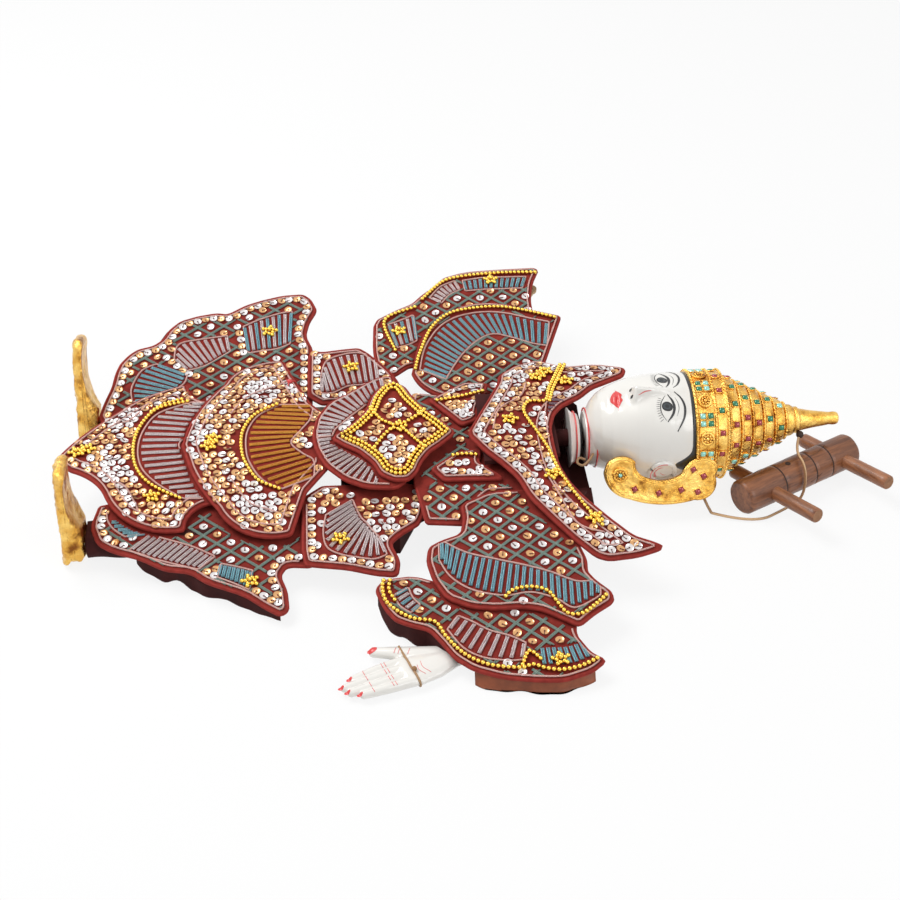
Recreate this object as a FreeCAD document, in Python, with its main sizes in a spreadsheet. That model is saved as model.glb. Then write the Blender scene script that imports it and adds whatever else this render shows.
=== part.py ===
import FreeCAD, Part
import math
import os

# Court-dress string puppet lying on its back, face up, with its control bar.
# Frame: +X toward the crown, +Z up (face side), -Y is the puppet's left.
# All sizes in millimetres, the floor is z = 0.

V = FreeCAD.Vector
Rotation = FreeCAD.Rotation
Placement = FreeCAD.Placement

doc = FreeCAD.newDocument("CourtPuppet")
sheet = doc.addObject("Spreadsheet::Sheet", "Sizes")

SIZES = [
    ("shift_x", "-15.1", "moves the whole puppet along X to centre its box"),
    ("shift_y", "5.5", "moves the whole puppet along Y to centre its box"),
    ("cloth_t", "3.2", "quilted velvet panel thickness"),
    ("layer_step", "3.5", "height step from one cloth layer to the next"),
    ("drape_r", "500", "radius the front panels drape over"),
    ("torso_crown_y", "30", "Y of the highest line of the chest drape"),
    ("apron_crown_y", "60", "Y of the highest line of the apron drape"),
    ("bodice_top", "40", "height of the bodice over its highest line"),
    ("apron_top", "42", "height of the lowest apron tier over its highest line"),
    ("pin_r", "1.5", "brass hinge pin radius"),
    ("pin_clear", "0.08", "radial running clearance of a hinge pin"),
    ("part_gap", "0.4", "side clearance of a hinge tongue in its slot"),
    ("hip_x", "-50", "hip pin"),
    ("knee_x", "-139", "knee pin"),
    ("ankle_x", "-238", "end of the shin"),
    ("leg_y", "58", "distance of a leg from the centre line"),
    ("leg_z", "13", "height of the leg pins"),
    ("leg_r", "12.6", "padded leg radius"),
    ("core_r", "6", "wooden shin radius"),
    ("tongue_t", "8", "thickness of a leg hinge tongue"),
    ("shoe_h", "76", "shoe sole length, heel to toe"),
    ("shoe_w", "29", "shoe sole width"),
    ("shoe_t", "15", "shoe thickness at the heel"),
    ("shoulder_x", "70", "shoulder pin"),
    ("shoulder_y", "50", "shoulder pin distance from the centre line"),
    ("arm_drop_left", "13.8", "depth of the left arm below the top of its sleeve"),
    ("arm_drop_right", "15.2", "depth of the right arm below the top of its sleeve"),
    ("hand_t", "9.6", "palm thickness"),
    ("upper_arm_len", "64", "shoulder pin to elbow pin"),
    ("forearm_len", "84", "elbow pin to wrist pin"),
    ("arm_r", "7.6", "upper arm radius"),
    ("forearm_r", "6.4", "forearm radius at the elbow"),
    ("wrist_r", "4.8", "forearm radius at the wrist"),
    ("head_z", "40", "height of the head and crown axis"),
    ("head_half_w", "34.5", "half width of the head"),
    ("neck_z", "34", "height of the neck axis"),
    ("neck_ball_r", "8", "radius of the neck ball"),
    ("crown_r", "36", "radius of the crown at the brow band"),
    ("crown_len", "96", "brow band to spire tip"),
    ("bar_r", "12", "control bar radius"),
    ("bar_len", "98", "control bar length"),
    ("bar_turn", "29.2", "angle of the bar from X"),
    ("bar_rock", "9", "angle the dowels are rocked up at the near side"),
    ("dowel_r", "5", "dowel radius"),
    ("dowel_near", "50", "dowel length from the bar axis, near side"),
    ("dowel_far", "30.5", "dowel length from the bar axis, far side"),
    ("dowel_gap", "64", "distance between the two dowels"),
    ("string_hole_r", "1.5", "string hole through the bar"),
    ("cord_r", "0.9", "head string radius"),
]
for row, (alias, text, note) in enumerate(SIZES, start=1):
    sheet.set("A%d" % row, note)
    sheet.set("B%d" % row, text)
    sheet.setAlias("B%d" % row, alias)
doc.recompute()


def size(alias):
    return float(sheet.get(alias))


def cell(alias):
    return "Sizes.%s" % alias


shift = V(size("shift_x"), size("shift_y"), 0)
cloth_t = size("cloth_t")
layer_step = size("layer_step")
gap = size("part_gap")
finished = []


# ---------------------------------------------------------------- helpers
def bind(obj, **expressions):
    for prop, expression in expressions.items():
        obj.setExpression(prop, expression)
    return obj


def axis_placement(origin, direction):
    return Placement(origin, Rotation(V(0, 0, 1), direction))


def cylinder(name, radius, height, origin, direction):
    obj = doc.addObject("Part::Cylinder", name)
    bind(obj, Radius=str(radius), Height=str(height))
    obj.Placement = axis_placement(origin, direction)
    return obj


def cone(name, radius1, radius2, height, origin, direction):
    obj = doc.addObject("Part::Cone", name)
    bind(obj, Radius1=str(radius1), Radius2=str(radius2), Height=str(height))
    obj.Placement = axis_placement(origin, direction)
    return obj


def sphere(name, radius, origin):
    obj = doc.addObject("Part::Sphere", name)
    bind(obj, Radius=str(radius))
    obj.Placement = Placement(origin, Rotation())
    return obj


def box(name, low, high):
    obj = doc.addObject("Part::Box", name)
    obj.Length = high[0] - low[0]
    obj.Width = high[1] - low[1]
    obj.Height = high[2] - low[2]
    obj.Placement = Placement(V(*low), Rotation())
    return obj


def fuse(name, parts):
    obj = doc.addObject("Part::MultiFuse", name)
    obj.Shapes = parts
    return obj


def cut(name, base, tools):
    tool = tools[0]
    if len(tools) > 1:
        tool = fuse(name + "_tools", tools)
    obj = doc.addObject("Part::Cut", name)
    obj.Base = base
    obj.Tool = tool
    return obj


def common(name, base, tool):
    obj = doc.addObject("Part::Common", name)
    obj.Base = base
    obj.Tool = tool
    return obj


def node(label, obj, placement=None):
    if placement is None:
        placement = Placement()
    obj.Placement = Placement(shift, Rotation()) * placement * obj.Placement
    obj.Label = label
    finished.append(obj)
    return obj


def origin_plane(body, role):
    for feature in body.Origin.OriginFeatures:
        if feature.Role == role:
            return feature
    return None


def outline_sketch(body, name, role, outline):
    """Closed outline of straight edges; a point given as (mid, end) makes an arc edge."""
    sketch = body.newObject("Sketcher::SketchObject", name)
    sketch.AttachmentSupport = [(origin_plane(body, role), "")]
    sketch.MapMode = "FlatFace"
    last = outline[-1]
    start = V(*(last[1] if isinstance(last[0], tuple) else last), 0)
    for item in outline:
        if isinstance(item[0], tuple):
            middle = V(*item[0], 0)
            end = V(*item[1], 0)
            sketch.addGeometry(Part.ArcOfCircle(start, middle, end), False)
        else:
            end = V(*item, 0)
            sketch.addGeometry(Part.LineSegment(start, end), False)
        start = end
    return sketch


def pad_body(name, role, outline, length):
    body = doc.addObject("PartDesign::Body", name)
    sketch = outline_sketch(body, name + "_outline", role, outline)
    pad = body.newObject("PartDesign::Pad", name + "_pad")
    pad.Profile = sketch
    bind(pad, Length=str(length))
    sketch.Visibility = False
    body.Tip = pad
    return body


def revolve_body(name, profile):
    """Turned part about its X axis from a closed profile of (x, radius) points."""
    body = doc.addObject("PartDesign::Body", name)
    sketch = outline_sketch(body, name + "_profile", "XY_Plane", profile)
    turn = body.newObject("PartDesign::Revolution", name + "_turn")
    turn.Profile = sketch
    turn.ReferenceAxis = (sketch, ["H_Axis"])
    turn.Angle = 360
    sketch.Visibility = False
    body.Tip = turn
    return body


def mirrored(outline, side):
    """Outline with its second coordinate multiplied by side, order kept closed."""
    result = []
    for item in outline:
        if isinstance(item[0], tuple):
            result.append(((item[0][0], item[0][1] * side), (item[1][0], item[1][1] * side)))
        else:
            result.append((item[0], item[1] * side))
    return result


FAMILY = {
    "torso": ("torso_crown_y", "bodice_top"),
    "apron": ("apron_crown_y", "apron_top"),
}


def drape_shell(name, family, layer, thickness=None):
    """Cylindrical shell along X; layer 0 is the lowest cloth layer."""
    crown_y, top = FAMILY[family]
    rise = "%s + %g * %s" % (cell("drape_r"), layer, cell("layer_step"))
    centre = V(-400, size(crown_y), size(top) - size("drape_r"))
    outer = cylinder(name + "_outer", rise, 800, centre, V(1, 0, 0))
    if thickness is None:
        thickness = cell("cloth_t")
    inner = cylinder(name + "_inner", "%s - %s" % (rise, thickness), 800, centre, V(1, 0, 0))
    return cut(name + "_shell", outer, [inner])


def draped_panel(label, outline, family, layer):
    column = pad_body(label + "_column", "XY_Plane", outline, 80)
    shell = drape_shell(label, family, layer)
    return node(label, common(label + "_cloth", column, shell))


def panel_plane(side, y0, z0, angle):
    """Placement whose local X is along the puppet, local Y runs outward along the cloth."""
    turn = Rotation(V(1, 0, 0), side * angle)
    return Placement(V(0, side * y0, z0), turn)


def tilted_panel(label, outline, side, y0, z0, angle, thickness=None):
    """Flat quilted panel whose top face lies in the tilted plane."""
    if thickness is None:
        thickness = cell("cloth_t")
    body = pad_body(label + "_panel", "XY_Plane", mirrored(outline, side), thickness)
    doc.recompute()
    depth = body.Shape.BoundBox.ZLength
    plane = panel_plane(side, y0, z0, angle) * Placement(V(0, 0, -depth), Rotation())
    return node(label, body, plane)


SLEEVE = {-1: (60.0, 34.8, -8.0), 1: (48.0, 34.0, 12.0)}


def arm_frame(side):
    """Plane of a sleeve, and the shoulder pin in that plane's own coordinates."""
    y0, z0, angle = SLEEVE[side]
    frame = panel_plane(side, y0, z0, angle)
    out = (size("shoulder_y") - y0) / math.cos(math.radians(angle))
    drop = size("arm_drop_left") if side < 0 else size("arm_drop_right")
    return frame, V(size("shoulder_x"), side * out, -drop)


# ---------------------------------------------------------------- torso
pin_r = size("pin_r")
shoulder_x = size("shoulder_x")
shoulder_y = size("shoulder_y")
waist_x = -4.0
waist_z = 14.0

chest_column = pad_body("chest_column", "XY_Plane", [
    (3, -28), (30, -34), (50, -57), (82, -57), (92, -44),
    (92, 44), (82, 57), (50, 57), (30, 34), (3, 28)], 80)
chest_dome = cylinder("chest_dome", "%s - %s - 0.3" % (cell("drape_r"), cell("cloth_t")), 800,
                      V(-400, size("torso_crown_y"), size("bodice_top") - size("drape_r")),
                      V(1, 0, 0))
chest_solid = common("chest_solid", chest_column, chest_dome)
waist_tongue = box("waist_tongue", (-4, -9, waist_z - 8), (10, 9, waist_z + 8))
waist_eye = cylinder("waist_eye", 8, 18, V(waist_x, -9, waist_z), V(0, 1, 0))
chest_raw = fuse("chest_raw", [chest_solid, waist_tongue, waist_eye])
neck_z = size("neck_z")
neck_bore = cylinder("neck_bore", 6.2, 24, V(69, 0, neck_z), V(1, 0, 0))
neck_seat = box("neck_seat", (79, -30, 9), (95, 30, 80))
slot_half = 5.0 + gap
tools = [neck_bore, neck_seat,
         cylinder("waist_pin_hole", "%s + %s" % (cell("pin_r"), cell("pin_clear")), 30,
                  V(waist_x, -15, waist_z), V(0, 1, 0))]
for side, word in ((-1, "left"), (1, "right")):
    frame, shoulder = arm_frame(side)
    slot = box("shoulder_slot_" + word, (-24, -16, -slot_half), (26, 16, slot_half))
    slot.Width = 40
    slot_low = -10 if side > 0 else -30
    slot.Placement = frame * Placement(shoulder + V(-24, slot_low, -slot_half), Rotation())
    hole = cylinder("shoulder_hole_" + word, cell("pin_r"), 18, V(0, 0, 0), V(0, 0, 1))
    hole.Placement = frame * Placement(shoulder + V(0, 0, -9), Rotation())
    roof = box("shoulder_roof_" + word, (0, 0, 0), (200, 200, 60))
    roof.Placement = frame * Placement(V(-40, -100, -cloth_t - 0.3), Rotation())
    tools.extend([slot, hole, roof])
node("chest_block", cut("chest_cut", chest_raw, tools))
for side, word in ((-1, "left"), (1, "right")):
    frame, shoulder = arm_frame(side)
    wire = cylinder("shoulder_wire_" + word, cell("pin_r"), 16.4, V(0, 0, 0), V(0, 0, 1))
    node("shoulder_pin_" + word, wire, frame * Placement(shoulder + V(0, 0, -9), Rotation()))

draped_panel("bodice", [
    (-27, -44), (-22, -76), (-4, -60), (22, -54.5), (52, -54.5), (84, -54), (90, -30),
    (70, -24), (70, 24), (92, 30), (86, 44), (40, 44), (0, 50), (-22, 56), (-27, 30)], "torso", 0)
draped_panel("collar_pad", [(20, -34), (70, -30), (70, 34), (20, 38)], "torso", 2)
draped_panel("waist_strap_left", [
    (2, -20), (20, -16), (17, -30), (34, -46), (-8, -46), (-16, -34)], "torso", 1)
draped_panel("waist_strap_right", [
    (-12, 40), (8, 8), (19, 12), (22, 26), (32, 58), (14, 60)], "torso", 1)
draped_panel("collar", [
    (8, -12), (20, 20), (40, 58), ((62, 62), (84, 80)), (128, 62), ((106, 50), (88, 27)),
    ((77, 14), (74, 0)), ((72, -28), (78, -52)), ((92, -86), (124, -112)),
    ((104, -108), (88, -108)), ((62, -84), (46, -56)), (24, -38)], "torso", 3)
draped_panel("medallion", [
    (-81, -8), (-58, 16), (-42, 40), ((-34, 40), (-27, 44)), ((-20, 34), (-14, 30)), (4, -8),
    (-14, -28), ((-26, -40), (-34, -50)), ((-46, -52), (-52, -44)), (-66, -26)], "apron", 3)

yoke_profile = [(79.2, 6.4), (79.2, 20), (81, 18.5), (85.8, 15), (85.8, 6.4)]
neck_yoke = revolve_body("neck_yoke_turned", yoke_profile)
yoke_trim = box("yoke_trim", (70, -40, -30), (95, 40, 10 - neck_z))
node("neck_yoke", cut("neck_yoke_cut", neck_yoke, [yoke_trim]), Placement(V(0, 0, neck_z), Rotation()))

# ---------------------------------------------------------------- neck
ball_x = 104.0
neck_stem = cylinder("neck_stem", 6, ball_x - 71, V(71, 0, neck_z), V(1, 0, 0))
neck_ball = sphere("neck_ball", cell("neck_ball_r"), V(ball_x, 0, neck_z))
node("neck_peg", fuse("neck_peg_solid", [neck_stem, neck_ball]))

# ---------------------------------------------------------------- head
head_z = size("head_z")
roll = Placement(V(0, 0, head_z), Rotation(V(1, 0, 0), 15))
brow_x = 168.0
skull_r = size("head_half_w")
skull = revolve_body("skull_turned", [
    (97, 0), ((106, skull_r * 0.72), (130, skull_r)), ((150, skull_r + 0.6), (brow_x, 31.5)),
    (brow_x, 0)])
skull.Placement = Placement(V(0, 0, skull_r + 1 - head_z), Rotation())
face_r = size("head_half_w") - 1
face = revolve_body("face_turned", [
    (88.5, 0), ((94, 17.5), (112, 28.5)), ((136, face_r), (brow_x, 32)), (brow_x, 0)])
face.Placement = Placement(V(0, 0, 1.5), Rotation())
nose = cone("nose_form", 6, 2.2, 12, V(122, 0, 27), V(-0.12, 0, 1))
head_parts = [skull, face, nose]
for side, word in ((-1, "left"), (1, "right")):
    head_parts.append(cylinder("ear_disc_" + word, 9, 5.5, V(138, side * 31, -5), V(0, side, 0)))
head_placed = fuse("head_raw", head_parts)
head_placed.Placement = roll
neck_skin = cone("neck_skin", 15, 17, 18, V(89.2, 0, neck_z), V(1, 0, 0))
head_block = fuse("head_block", [head_placed, neck_skin])
socket = sphere("neck_socket", "%s + %s" % (cell("neck_ball_r"), cell("part_gap")),
                V(ball_x, 0, neck_z))
socket_mouth = cone("socket_mouth", 11, 7.2, 18, V(86, 0, neck_z), V(1, 0, 0))
node("head", cut("head_carved", head_block, [socket, socket_mouth]))

crown_r = size("crown_r")
crown_len = size("crown_len")
crown_place = Placement(V(brow_x + 0.2, 0, head_z), Rotation())
hair = revolve_body("hair_turned", [(0, 0), (0, crown_r - 2), (4, crown_r - 1), (4, 0)])
node("hair_band", hair, crown_place)
band_profile = [(4.2, 0), (4.2, crown_r), ((9, crown_r + 1.6), (13.5, crown_r)), (13.5, 0)]
band = revolve_body("crown_band_turned", band_profile)
node("crown_band", band, crown_place)
tier_start = 13.7
tier_count = 6
tier_step = (crown_len * 0.675 - tier_start) / tier_count
profile = [(tier_start, 0)]
for index in range(tier_count):
    radius = crown_r - 3.4 - index * (crown_r - 11.0) / tier_count
    x_low = tier_start + index * tier_step
    x_high = x_low + tier_step
    profile.append((x_low, radius))
    profile.append(((x_low + tier_step * 0.4, radius + 0.9), (x_high, radius - 2.2)))
tier_end = tier_start + tier_count * tier_step
profile.append((tier_end, 0))
node("crown_tiers", revolve_body("crown_tiers_turned", profile), crown_place)
spire_r = 9.0
spire = revolve_body("crown_spire_turned", [
    (tier_end + 0.2, 0), (tier_end + 0.2, spire_r),
    ((tier_end + 12, 5.4), (crown_len - 3, 3.6)), (crown_len, 1.6), (crown_len, 0)])
node("crown_spire", spire, crown_place)

ornament = [
    (100, 2), ((110, -3), (119, 1)), ((121, 9), (127, 13)), ((140, 15), (150, 11)),
    ((154, 4), (162, 0)), ((172, 4), (172, 14)), ((170, 26), (158, 30)),
    ((134, 32), (114, 27)), ((101, 18), (98, 8))]
for side, word in ((-1, "left"), (1, "right")):
    tilt = 68.0
    foot = Placement(V(0, side * 34.2, head_z - 5), Rotation(V(1, 0, 0), -side * tilt))
    body = pad_body("ear_ornament_%s_plate" % word, "XY_Plane", mirrored(ornament, side), 5)
    node("ear_ornament_" + word, body, foot)

# ---------------------------------------------------------------- control bar
bar_r = size("bar_r")
bar_len = size("bar_len")
turn = math.radians(size("bar_turn"))
along = V(math.cos(turn), math.sin(turn), 0)
bar_left = V(189.6, -47.0, bar_r)
near_dir = V(math.sin(turn), -math.cos(turn), 0)
rock = math.radians(size("bar_rock"))
near_dir = near_dir * math.cos(rock) + V(0, 0, 1) * math.sin(rock)
dowel_a_at = 21.0
bar_wood = cylinder("bar_wood", cell("bar_r"), cell("bar_len"), bar_left, along)
bar_tools = []
for index, station in enumerate((dowel_a_at, dowel_a_at + size("dowel_gap"))):
    start = bar_left + along * station - near_dir * 30
    bore = "%s + 0.05" % cell("dowel_r")
    bar_tools.append(cylinder("dowel_hole_%d" % index, bore, 60, start, near_dir))
hole_at = bar_left + along * 40 - V(0, 0, 20)
bar_tools.append(cylinder("string_hole", cell("string_hole_r"), 40, hole_at, V(0, 0, 1)))
for index, station in enumerate((31.0, 58.0, 73.0)):
    ring = cylinder("burnt_ring_%d" % index, 20, 1.0, bar_left + along * station, along)
    keep = cylinder("burnt_core_%d" % index, "%s - 0.4" % cell("bar_r"), 3.0,
                    bar_left + along * (station - 1), along)
    bar_tools.append(cut("burnt_groove_%d" % index, ring, [keep]))
node("control_bar", cut("control_bar_cut", bar_wood, bar_tools))
for index, word in enumerate(("inner", "outer")):
    station = dowel_a_at + index * size("dowel_gap")
    start = bar_left + along * station - near_dir * size("dowel_far")
    node("bar_dowel_" + word,
         cylinder("dowel_rod_" + word, cell("dowel_r"),
                  "%s + %s" % (cell("dowel_near"), cell("dowel_far")), start, near_dir))

# ---------------------------------------------------------------- pelvis and apron
leg_y = size("leg_y")
leg_z = size("leg_z")
hip_x = size("hip_x")
knee_x = size("knee_x")
tongue_t = size("tongue_t")
pelvis_low = pad_body("pelvis_low", "XY_Plane", [
    (-8, -30), (-8, 30), (-26, 44), (-38, 72), (-58, 72), (-58, 36), (-74, 20),
    (-74, -20), (-58, -36), (-58, -72), (-38, -72), (-26, -44)], 20.5)
pelvis_column = pad_body("pelvis_column", "XY_Plane", [
    (-33, 32), (-52, 30), (-72, 22), (-72, -16), (-52, -28), (-33, -30)], 80)
pelvis_dome = cylinder("pelvis_dome",
                       "%s + 2 * %s - %s - 0.3" % (cell("drape_r"), cell("layer_step"),
                                                   cell("cloth_t")), 800,
                       V(-400, size("apron_crown_y"), size("apron_top") - size("drape_r")),
                       V(1, 0, 0))
belly = common("pelvis_belly", pelvis_column, pelvis_dome)
pelvis_raw = fuse("pelvis_raw", [pelvis_low, belly])
pelvis_tools = [
    box("waist_slot", (-16, -9 - gap, -1), (0, 9 + gap, 26)),
    cylinder("waist_pin_bore", cell("pin_r"), 44, V(waist_x, -22, waist_z), V(0, 1, 0))]
waist_ears = []
for side in (-1, 1):
    y_low = min(side * (9 + gap), side * 22)
    ear = cylinder("waist_ear_%d" % (side + 1), 6, 22 - 9 - gap, V(waist_x, y_low, waist_z),
                   V(0, 1, 0))
    arm = box("waist_arm_%d" % (side + 1), (-12, y_low, waist_z - 6),
              (waist_x, y_low + 22 - 9 - gap, waist_z + 6))
    waist_ears.extend([ear, arm])
WING = {-1: (45.0, 25.6, -10.0), 1: (50.0, 27.5, 16.0)}
posts = []
for side, word in ((-1, "left"), (1, "right")):
    post = cylinder("hip_post_" + word, 4.5, 40, V(-47, side * 67, 2), V(0, 0, 1))
    y0, z0, angle = WING[side]
    roof = box("hip_roof_" + word, (0, 0, 0), (200, 200, 60))
    roof.Placement = panel_plane(side, y0, z0 + layer_step, angle) * Placement(
        V(-150, -100, -cloth_t - 0.2), Rotation())
    posts.append(cut("hip_post_cut_" + word, post, [roof]))
pelvis_whole = fuse("pelvis_whole", [pelvis_raw] + waist_ears + posts)
for side, word in ((-1, "left"), (1, "right")):
    middle = side * leg_y
    half = tongue_t / 2 + gap
    pelvis_tools.append(box("hip_slot_" + word, (hip_x - 20, middle - half, -1),
                            (hip_x + 9, middle + half, 30)))
    pelvis_tools.append(cylinder("hip_pin_bore_" + word, cell("pin_r"), 24,
                                 V(hip_x, middle - 12, leg_z), V(0, 1, 0)))
node("pelvis_block", cut("pelvis_cut", pelvis_whole, pelvis_tools))
node("waist_pin", cylinder("waist_wire", cell("pin_r"), 44, V(waist_x, -22, waist_z), V(0, 1, 0)))
for side, word in ((-1, "left"), (1, "right")):
    node("hip_pin_" + word, cylinder("hip_wire_" + word, cell("pin_r"), 24,
                                     V(hip_x, side * leg_y - 12, leg_z), V(0, 1, 0)))

draped_panel("apron_lower", [
    (-262, -4), ((-246, 20), (-222, 46)), ((-204, 62), (-176, 76)), ((-174, 62), (-160, 50)),
    (-112, 46), (-112, -42), (-160, -48), ((-170, -54), (-174, -68)),
    ((-204, -64), (-226, -40)), ((-240, -20), (-250, -14))], "apron", 0)
draped_panel("apron_middle", [
    (-178, 0), ((-168, 36), (-152, 66)), ((-134, 90), (-110, 94)), (-104, 74), (-92, 40),
    (-80, 24), (-80, -24), (-96, -46), (-106, -80), ((-132, -78), (-154, -56)),
    ((-166, -36), (-172, -22))], "apron", 1)
draped_panel("apron_upper", [
    (-106, 0), (-90, 40), ((-72, 62), (-52, 80)), (-38, 76), (-32, 40), (-32, -44),
    (-42, -58), (-54, -56), (-88, -38)], "apron", 2)

# ---------------------------------------------------------------- legs
shin_wing_outline = [
    (-236, 4), ((-232, 22), (-217, 34)), ((-216, 56), (-192, 66)), ((-184, 80), (-160, 82)),
    (-147, 87), (-144, -2), (-236, -2)]
thigh_wing_outline = [
    (-134, 91), ((-124, 102), (-104, 106)), ((-96, 96), (-96, 72)), (-92, 60), (-92, 2),
    (-137, -2)]
hip_flap_near = [
    (-89, 60), ((-70, 54), (-38, 66)), ((-34, 50), (-24, 34)), (-24, 4), (-89, 4)]
hip_flap_far = [
    (-89, 60), ((-74, 54), (-54, 60)), ((-46, 46), (-32, 32)), (-28, 4), (-89, 4)]
ankle_x = size("ankle_x")
leg_r = size("leg_r")

for side, word in ((-1, "left"), (1, "right")):
    y0, z0, angle = WING[side]
    hip_y = side * leg_y
    flap = hip_flap_near if side < 0 else hip_flap_far
    tilted_panel("hip_flap_" + word, flap, side, y0, z0 + layer_step, angle)
    tilted_panel("thigh_wing_" + word, thigh_wing_outline, side, y0, z0, angle)
    tilted_panel("shin_wing_" + word, shin_wing_outline, side, y0, z0, angle)

    above = box("above_wing_" + word, (-260, -60, -cloth_t - 0.1), (0, 140, 60))
    if side < 0:
        above.Placement = panel_plane(side, y0, z0, angle) * Placement(
            V(-260, -140, -cloth_t - 0.1), Rotation())
    else:
        above.Placement = panel_plane(side, y0, z0, angle) * Placement(
            V(-260, -60, -cloth_t - 0.1), Rotation())
    above.Width = 200

    half = tongue_t / 2 + gap
    thigh_rod = cylinder("thigh_rod_" + word, cell("leg_r"), hip_x - 16 - knee_x - 10,
                         V(knee_x + 10, hip_y, leg_z), V(1, 0, 0))
    hip_eye = cylinder("hip_eye_" + word, 6.5, tongue_t, V(hip_x, hip_y - tongue_t / 2, leg_z),
                       V(0, 1, 0))
    hip_web = box("hip_web_" + word, (hip_x - 18, hip_y - tongue_t / 2, leg_z - 6),
                  (hip_x, hip_y + tongue_t / 2, leg_z + 6))
    fork = cylinder("knee_fork_" + word, 7, 20, V(knee_x, hip_y - 10, leg_z), V(0, 1, 0))
    fork_web = box("knee_fork_web_" + word, (knee_x, hip_y - 10, leg_z - 7),
                   (knee_x + 12, hip_y + 10, leg_z + 7))
    thigh_raw = fuse("thigh_raw_" + word, [thigh_rod, hip_eye, hip_web, fork, fork_web])
    hip_bore = cylinder("hip_bore_" + word, "%s + %s" % (cell("pin_r"), cell("pin_clear")), 20,
                        V(hip_x, hip_y - 10, leg_z), V(0, 1, 0))
    knee_slot = box("knee_slot_" + word, (knee_x - 10, hip_y - half, -2),
                    (knee_x + 9, hip_y + half, 40))
    knee_hole = cylinder("knee_hole_" + word, cell("pin_r"), 20, V(knee_x, hip_y - 10, leg_z),
                         V(0, 1, 0))
    node("thigh_" + word, cut("thigh_cut_" + word, thigh_raw,
                              [hip_bore, knee_slot, knee_hole, above]))
    node("knee_pin_" + word, cylinder("knee_wire_" + word, cell("pin_r"), 20,
                                      V(knee_x, hip_y - 10, leg_z), V(0, 1, 0)))

    shin_start = knee_x - 14
    core = cylinder("shin_core_" + word, cell("core_r"), shin_start - ankle_x,
                    V(ankle_x, hip_y, leg_z), V(1, 0, 0))
    eye = cylinder("knee_eye_" + word, 6.5, tongue_t, V(knee_x, hip_y - tongue_t / 2, leg_z),
                   V(0, 1, 0))
    web = box("knee_web_" + word, (shin_start - 4, hip_y - tongue_t / 2, leg_z - 5),
              (knee_x, hip_y + tongue_t / 2, leg_z + 5))
    shin_raw = fuse("shin_raw_" + word, [core, eye, web])
    shin_bore = cylinder("knee_bore_" + word, "%s + %s" % (cell("pin_r"), cell("pin_clear")), 20,
                         V(knee_x, hip_y - 10, leg_z), V(0, 1, 0))
    node("shin_" + word, cut("shin_cut_" + word, shin_raw, [shin_bore]))

    trouser_rod = cylinder("trouser_rod_" + word, cell("leg_r"), shin_start - 4 - ankle_x - 3,
                           V(ankle_x + 3, hip_y, leg_z), V(1, 0, 0))
    trouser_hole = cylinder("trouser_hole_" + word, "%s + 0.05" % cell("core_r"), 140,
                            V(ankle_x - 10, hip_y, leg_z), V(1, 0, 0))
    above_low = box("above_shin_wing_" + word, (0, 0, 0), (260, 200, 60))
    above_low.Placement = above.Placement
    node("trouser_" + word, cut("trouser_cut_" + word, trouser_rod, [trouser_hole, above_low]))

    shoe_t = size("shoe_t")
    shoe_h = size("shoe_h")
    shoe_half = size("shoe_w") / 2
    lean = -4.0 if side < 0 else -22.0
    sole = pad_body("shoe_sole_" + word, "XZ_Plane", [
        (-shoe_t, 1), ((-shoe_t - 1, 0), (-shoe_t + 3, -0.0)), (-2, 0), (0, 4), (0, 26),
        ((-6, 40), (-7, shoe_h - 6)), ((-10, shoe_h), (-14, shoe_h - 4)),
        ((-15, 40), (-shoe_t, 20))], size("shoe_w"))
    tilt = Placement(V(ankle_x - 0.2, hip_y, 0), Rotation(V(1, 0, 0), lean))
    slide = Placement(V(0, shoe_half, 0), Rotation())
    doc.recompute()
    low = sole.Shape.copy()
    low.Placement = tilt * slide * low.Placement
    lift = Placement(V(0, 0, -low.BoundBox.ZMin), Rotation())
    node("shoe_" + word, sole, lift * tilt * slide)

# ---------------------------------------------------------------- arms
sleeve_near = [
    (-21, 46), ((-20, 22), (-4, 4)), (20, -4), (58, -4), (70, 14), (88, 94), (66, 112),
    ((50, 92), (30, 90)), ((4, 92), (-16, 72))]
cuff_near = [
    (-56, 72), (-48, 60), (20, 58), (66, 66), (80, 100), (78, 136), ((60, 144), (44, 146)),
    ((8, 144), (-14, 128)), ((-30, 110), (-46, 100))]
sleeve_far = [
    (-21, 30), ((-14, 16), (0, 6)), (24, 0), (58, 0), (74, 34), (92, 82), (60, 94),
    ((24, 98), (2, 84)), ((-12, 64), (-18, 44))]
cuff_far = [
    (-34, 54), (-20, 42), (64, 46), (78, 84), (82, 138), (38, 136), (6, 130), (-12, 106),
    (-41, 92)]
upper_len = size("upper_arm_len")
fore_len = size("forearm_len")
arm_r = size("arm_r")

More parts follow.
